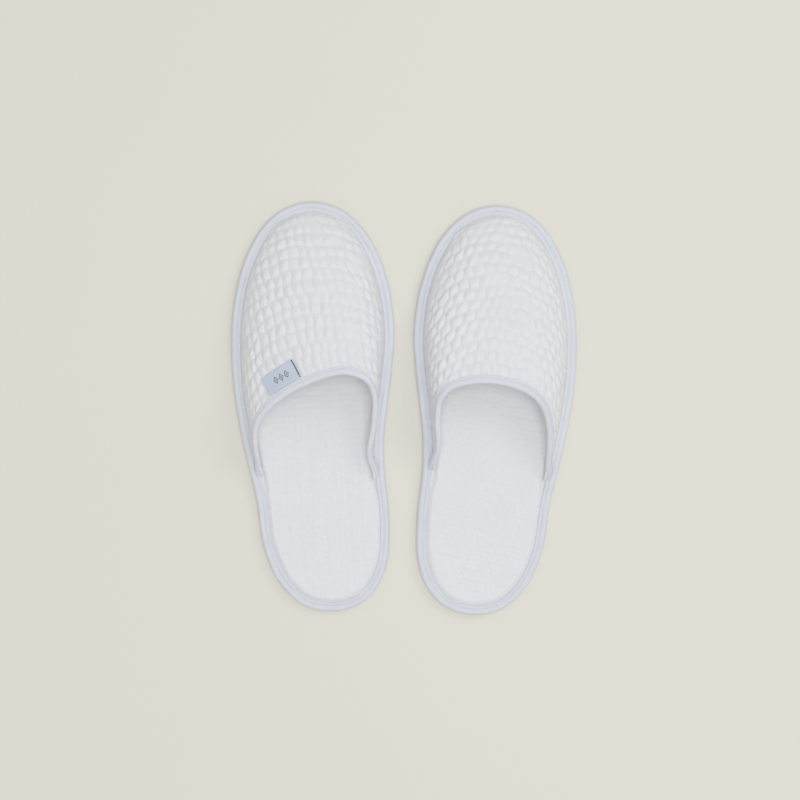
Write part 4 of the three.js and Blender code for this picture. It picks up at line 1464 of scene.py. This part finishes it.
def outsole(slipper, rows=400):
    steps = (-0.3, 0, 0.25, 0.8, 2, TREAD_BORDER, TREAD_BORDER + TREAD_SLOPE)
    insets = [LAYER_INSET, LAYER_INSET, 4.0, *(TREAD_INSET + step for step in steps)]
    rebate = BINDING_BASE + TAPE + GAP
    plan, depth = plate_plan(rows, insets, 50)
    under = tread(plan[..., 0], plan[..., 1], depth)
    lip = {0: rebate + 0.4, 1: rebate, 2: rebate, 3: rebate, 4: rebate - 0.3, 5: 0.3, 6: 0.03}
    for column, z in lip.items():
        under[:, column] = under[:, -1 - column] = z
    top_plan, top_depth = plate_plan(rows, [LAYER_INSET, LAYER_INSET + 0.3, 6, 16], 6)
    top = OUTSOLE_TOP - 0.25 * (top_depth < LAYER_INSET + 0.1)
    name = f"{slipper.side}_outsole_foam"
    piece = plate(slipper, name, (top_plan, top), (plan, under))
    return belong(piece, slipper, "sole_foam", SOLE_FOAM, "outsole")


for slipper in SLIPPERS:
    outsole(slipper)

# %% [markdown]
# ## The woven label
# A satin label is sewn along one edge beside the throat's binding, so its free edge can lift. It is a
# sheet laid over the curved upper: each of its points is dropped along the label's own normal, which
# Newton's method works out for all points at once. Its woven motif is a row of lozenges, each with a
# seed in it, and a dark stripe.

# %% The woven label


def on_cloth(slipper, a, b, seat):
    """Points of the surface that lie a along and b away from the label's middle, seen along its
    normal."""
    around0, up0, middle, _, along, away = seat
    around, up = np.full_like(a, around0), np.full_like(a, up0)
    step = 1e-4
    for _ in range(10):
        here = slipper.surface(around, up)
        by_around = (slipper.surface(around + step, up) - here) / step
        by_up = (slipper.surface(around, up + step) - here) / step
        miss_a, miss_b = a - (here - middle) @ along, b - (here - middle) @ away
        j11, j12, j21, j22 = by_around @ along, by_up @ along, by_around @ away, by_up @ away
        det = j11 * j22 - j12 * j21
        around = around + (j22 * miss_a - j12 * miss_b) / det
        up = up + (j11 * miss_b - j21 * miss_a) / det
    return slipper.surface(around, up)


def motif(a, b):
    """1 where the dark weft shows: three lozenges with a seed in each, and a stripe along one end."""
    pitch = 4.3
    start = a + 6.2
    cell = np.clip(np.floor(start / pitch), 0, 2)
    u, v = start - (cell + 0.5) * pitch, b
    ring = abs(abs(u) / 1.9 + abs(v) / 2.9 - 0.84) < 0.17
    seed = abs(u) / 0.6 + abs(v) / 0.9 < 1
    inside = (start > -0.2) & (start < 3 * pitch + 0.2)
    stripe = (a > LABEL["length"] / 2 - 1.5) & (a < LABEL["length"] / 2 - 0.6)
    return ((ring | seed) & inside | stripe).astype(float)


def woven_label(slipper, across=161, deep=82):
    seat = label_seat(slipper)
    normal = seat[3]
    length, height, thickness = LABEL["length"], LABEL["height"], LABEL["thickness"]
    a = np.linspace(-length / 2, length / 2, across)[:, None] + np.zeros(deep)
    b = np.linspace(-height / 2, height / 2, deep)[None] + np.zeros((across, 1))
    ground = on_cloth(slipper, a, b, seat)
    share = (b + height / 2) / height
    wave = 0.18 * np.sin(2.2 * np.pi * a / length + 0.6) * share + 0.5 * share**3
    corner = 0.5 * smoothstep(a, length / 2 - 6, length / 2) * smoothstep(share, 0.4, 1)
    lift = LABEL["lift"] + wave + corner + 0.6 * (1 - smoothstep(share, 0.08, 0.4))
    ribs = 0.02 * np.sin(2 * np.pi * b / 0.5)
    low = ground + normal * lift[..., None]
    high = low + normal * (thickness + ribs)[..., None]
    rim = np.minimum(length / 2 - abs(a), height / 2 - abs(b))
    high = high - normal * (0.16 * (1 - smoothstep(rim, 0, 0.4)))[..., None]
    grid = np.concatenate([high, low[:, ::-1]], axis=1)
    uv = np.stack([a, b], axis=-1)
    dark = motif(a, b)
    marks = np.concatenate([dark, np.zeros_like(dark)], axis=1)
    uv = np.concatenate([uv, uv[:, ::-1]], axis=1)
    piece = shell(slipper, "woven_label_flap", grid, uv=uv, marks=marks)
    belong(piece, slipper, "label_satin", label_finish(), "woven_label")
    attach(piece, "label")
    return seat


def label_finish():
    """Satin: long floats of pale blue thread, with dark weft where the motif is."""
    finish = Finish("label_satin", roughness=0.45, sheen_weight=0.1, specular_ior_level=0.45)
    x, y = finish.cloth()
    floats = (y * (np.pi / 0.25)).sine().size()
    picks = (x * (np.pi / 0.3)).sine().size()
    dark = finish.node("ShaderNodeAttribute", {"attribute_name": "mark"}, out="Fac")
    pale = finish.blend(floats * 0.5 + picks * 0.2, tone(188, 202, 225), tone(200, 213, 233))
    ink = finish.blend(picks, tone(44, 48, 60), tone(72, 78, 94))
    finish.set(base_color=finish.blend(dark.between(0.3, 0.7), pale, ink), roughness=0.4 + floats * 0.2)
    finish.relief(floats * 0.6 + picks * 0.4, 0.0001)
    return finish.material


def label_stitches(slipper, seat):
    """A short row of stitches along the sewn edge, which turn with it."""
    a = np.arange(-LABEL["length"] / 2 + 1.4, LABEL["length"] / 2 - 1, 2.4)
    b = np.full_like(a, -LABEL["height"] / 2 + 1.0)
    ground = on_cloth(slipper, a, b, seat)
    normal = np.tile(seat[3], (len(a), 1))
    middle = ground + normal * (LABEL["lift"] + LABEL["thickness"] + 0.7)
    ahead = unit(np.gradient(middle, axis=0))
    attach(stitch_row(slipper, "label_edge_stitches", middle, ahead, normal, 0.2, 2.0), "label")


label_place = woven_label(SLIPPERS[0])
label_stitches(SLIPPERS[0], label_place)
low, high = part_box("left_woven_label")
middle = SLIPPERS[0].place(label_place[2])
print("label's middle:", np.round(middle / MM, 1), "solid's:", np.round((low + high) / 2 / MM, 1))
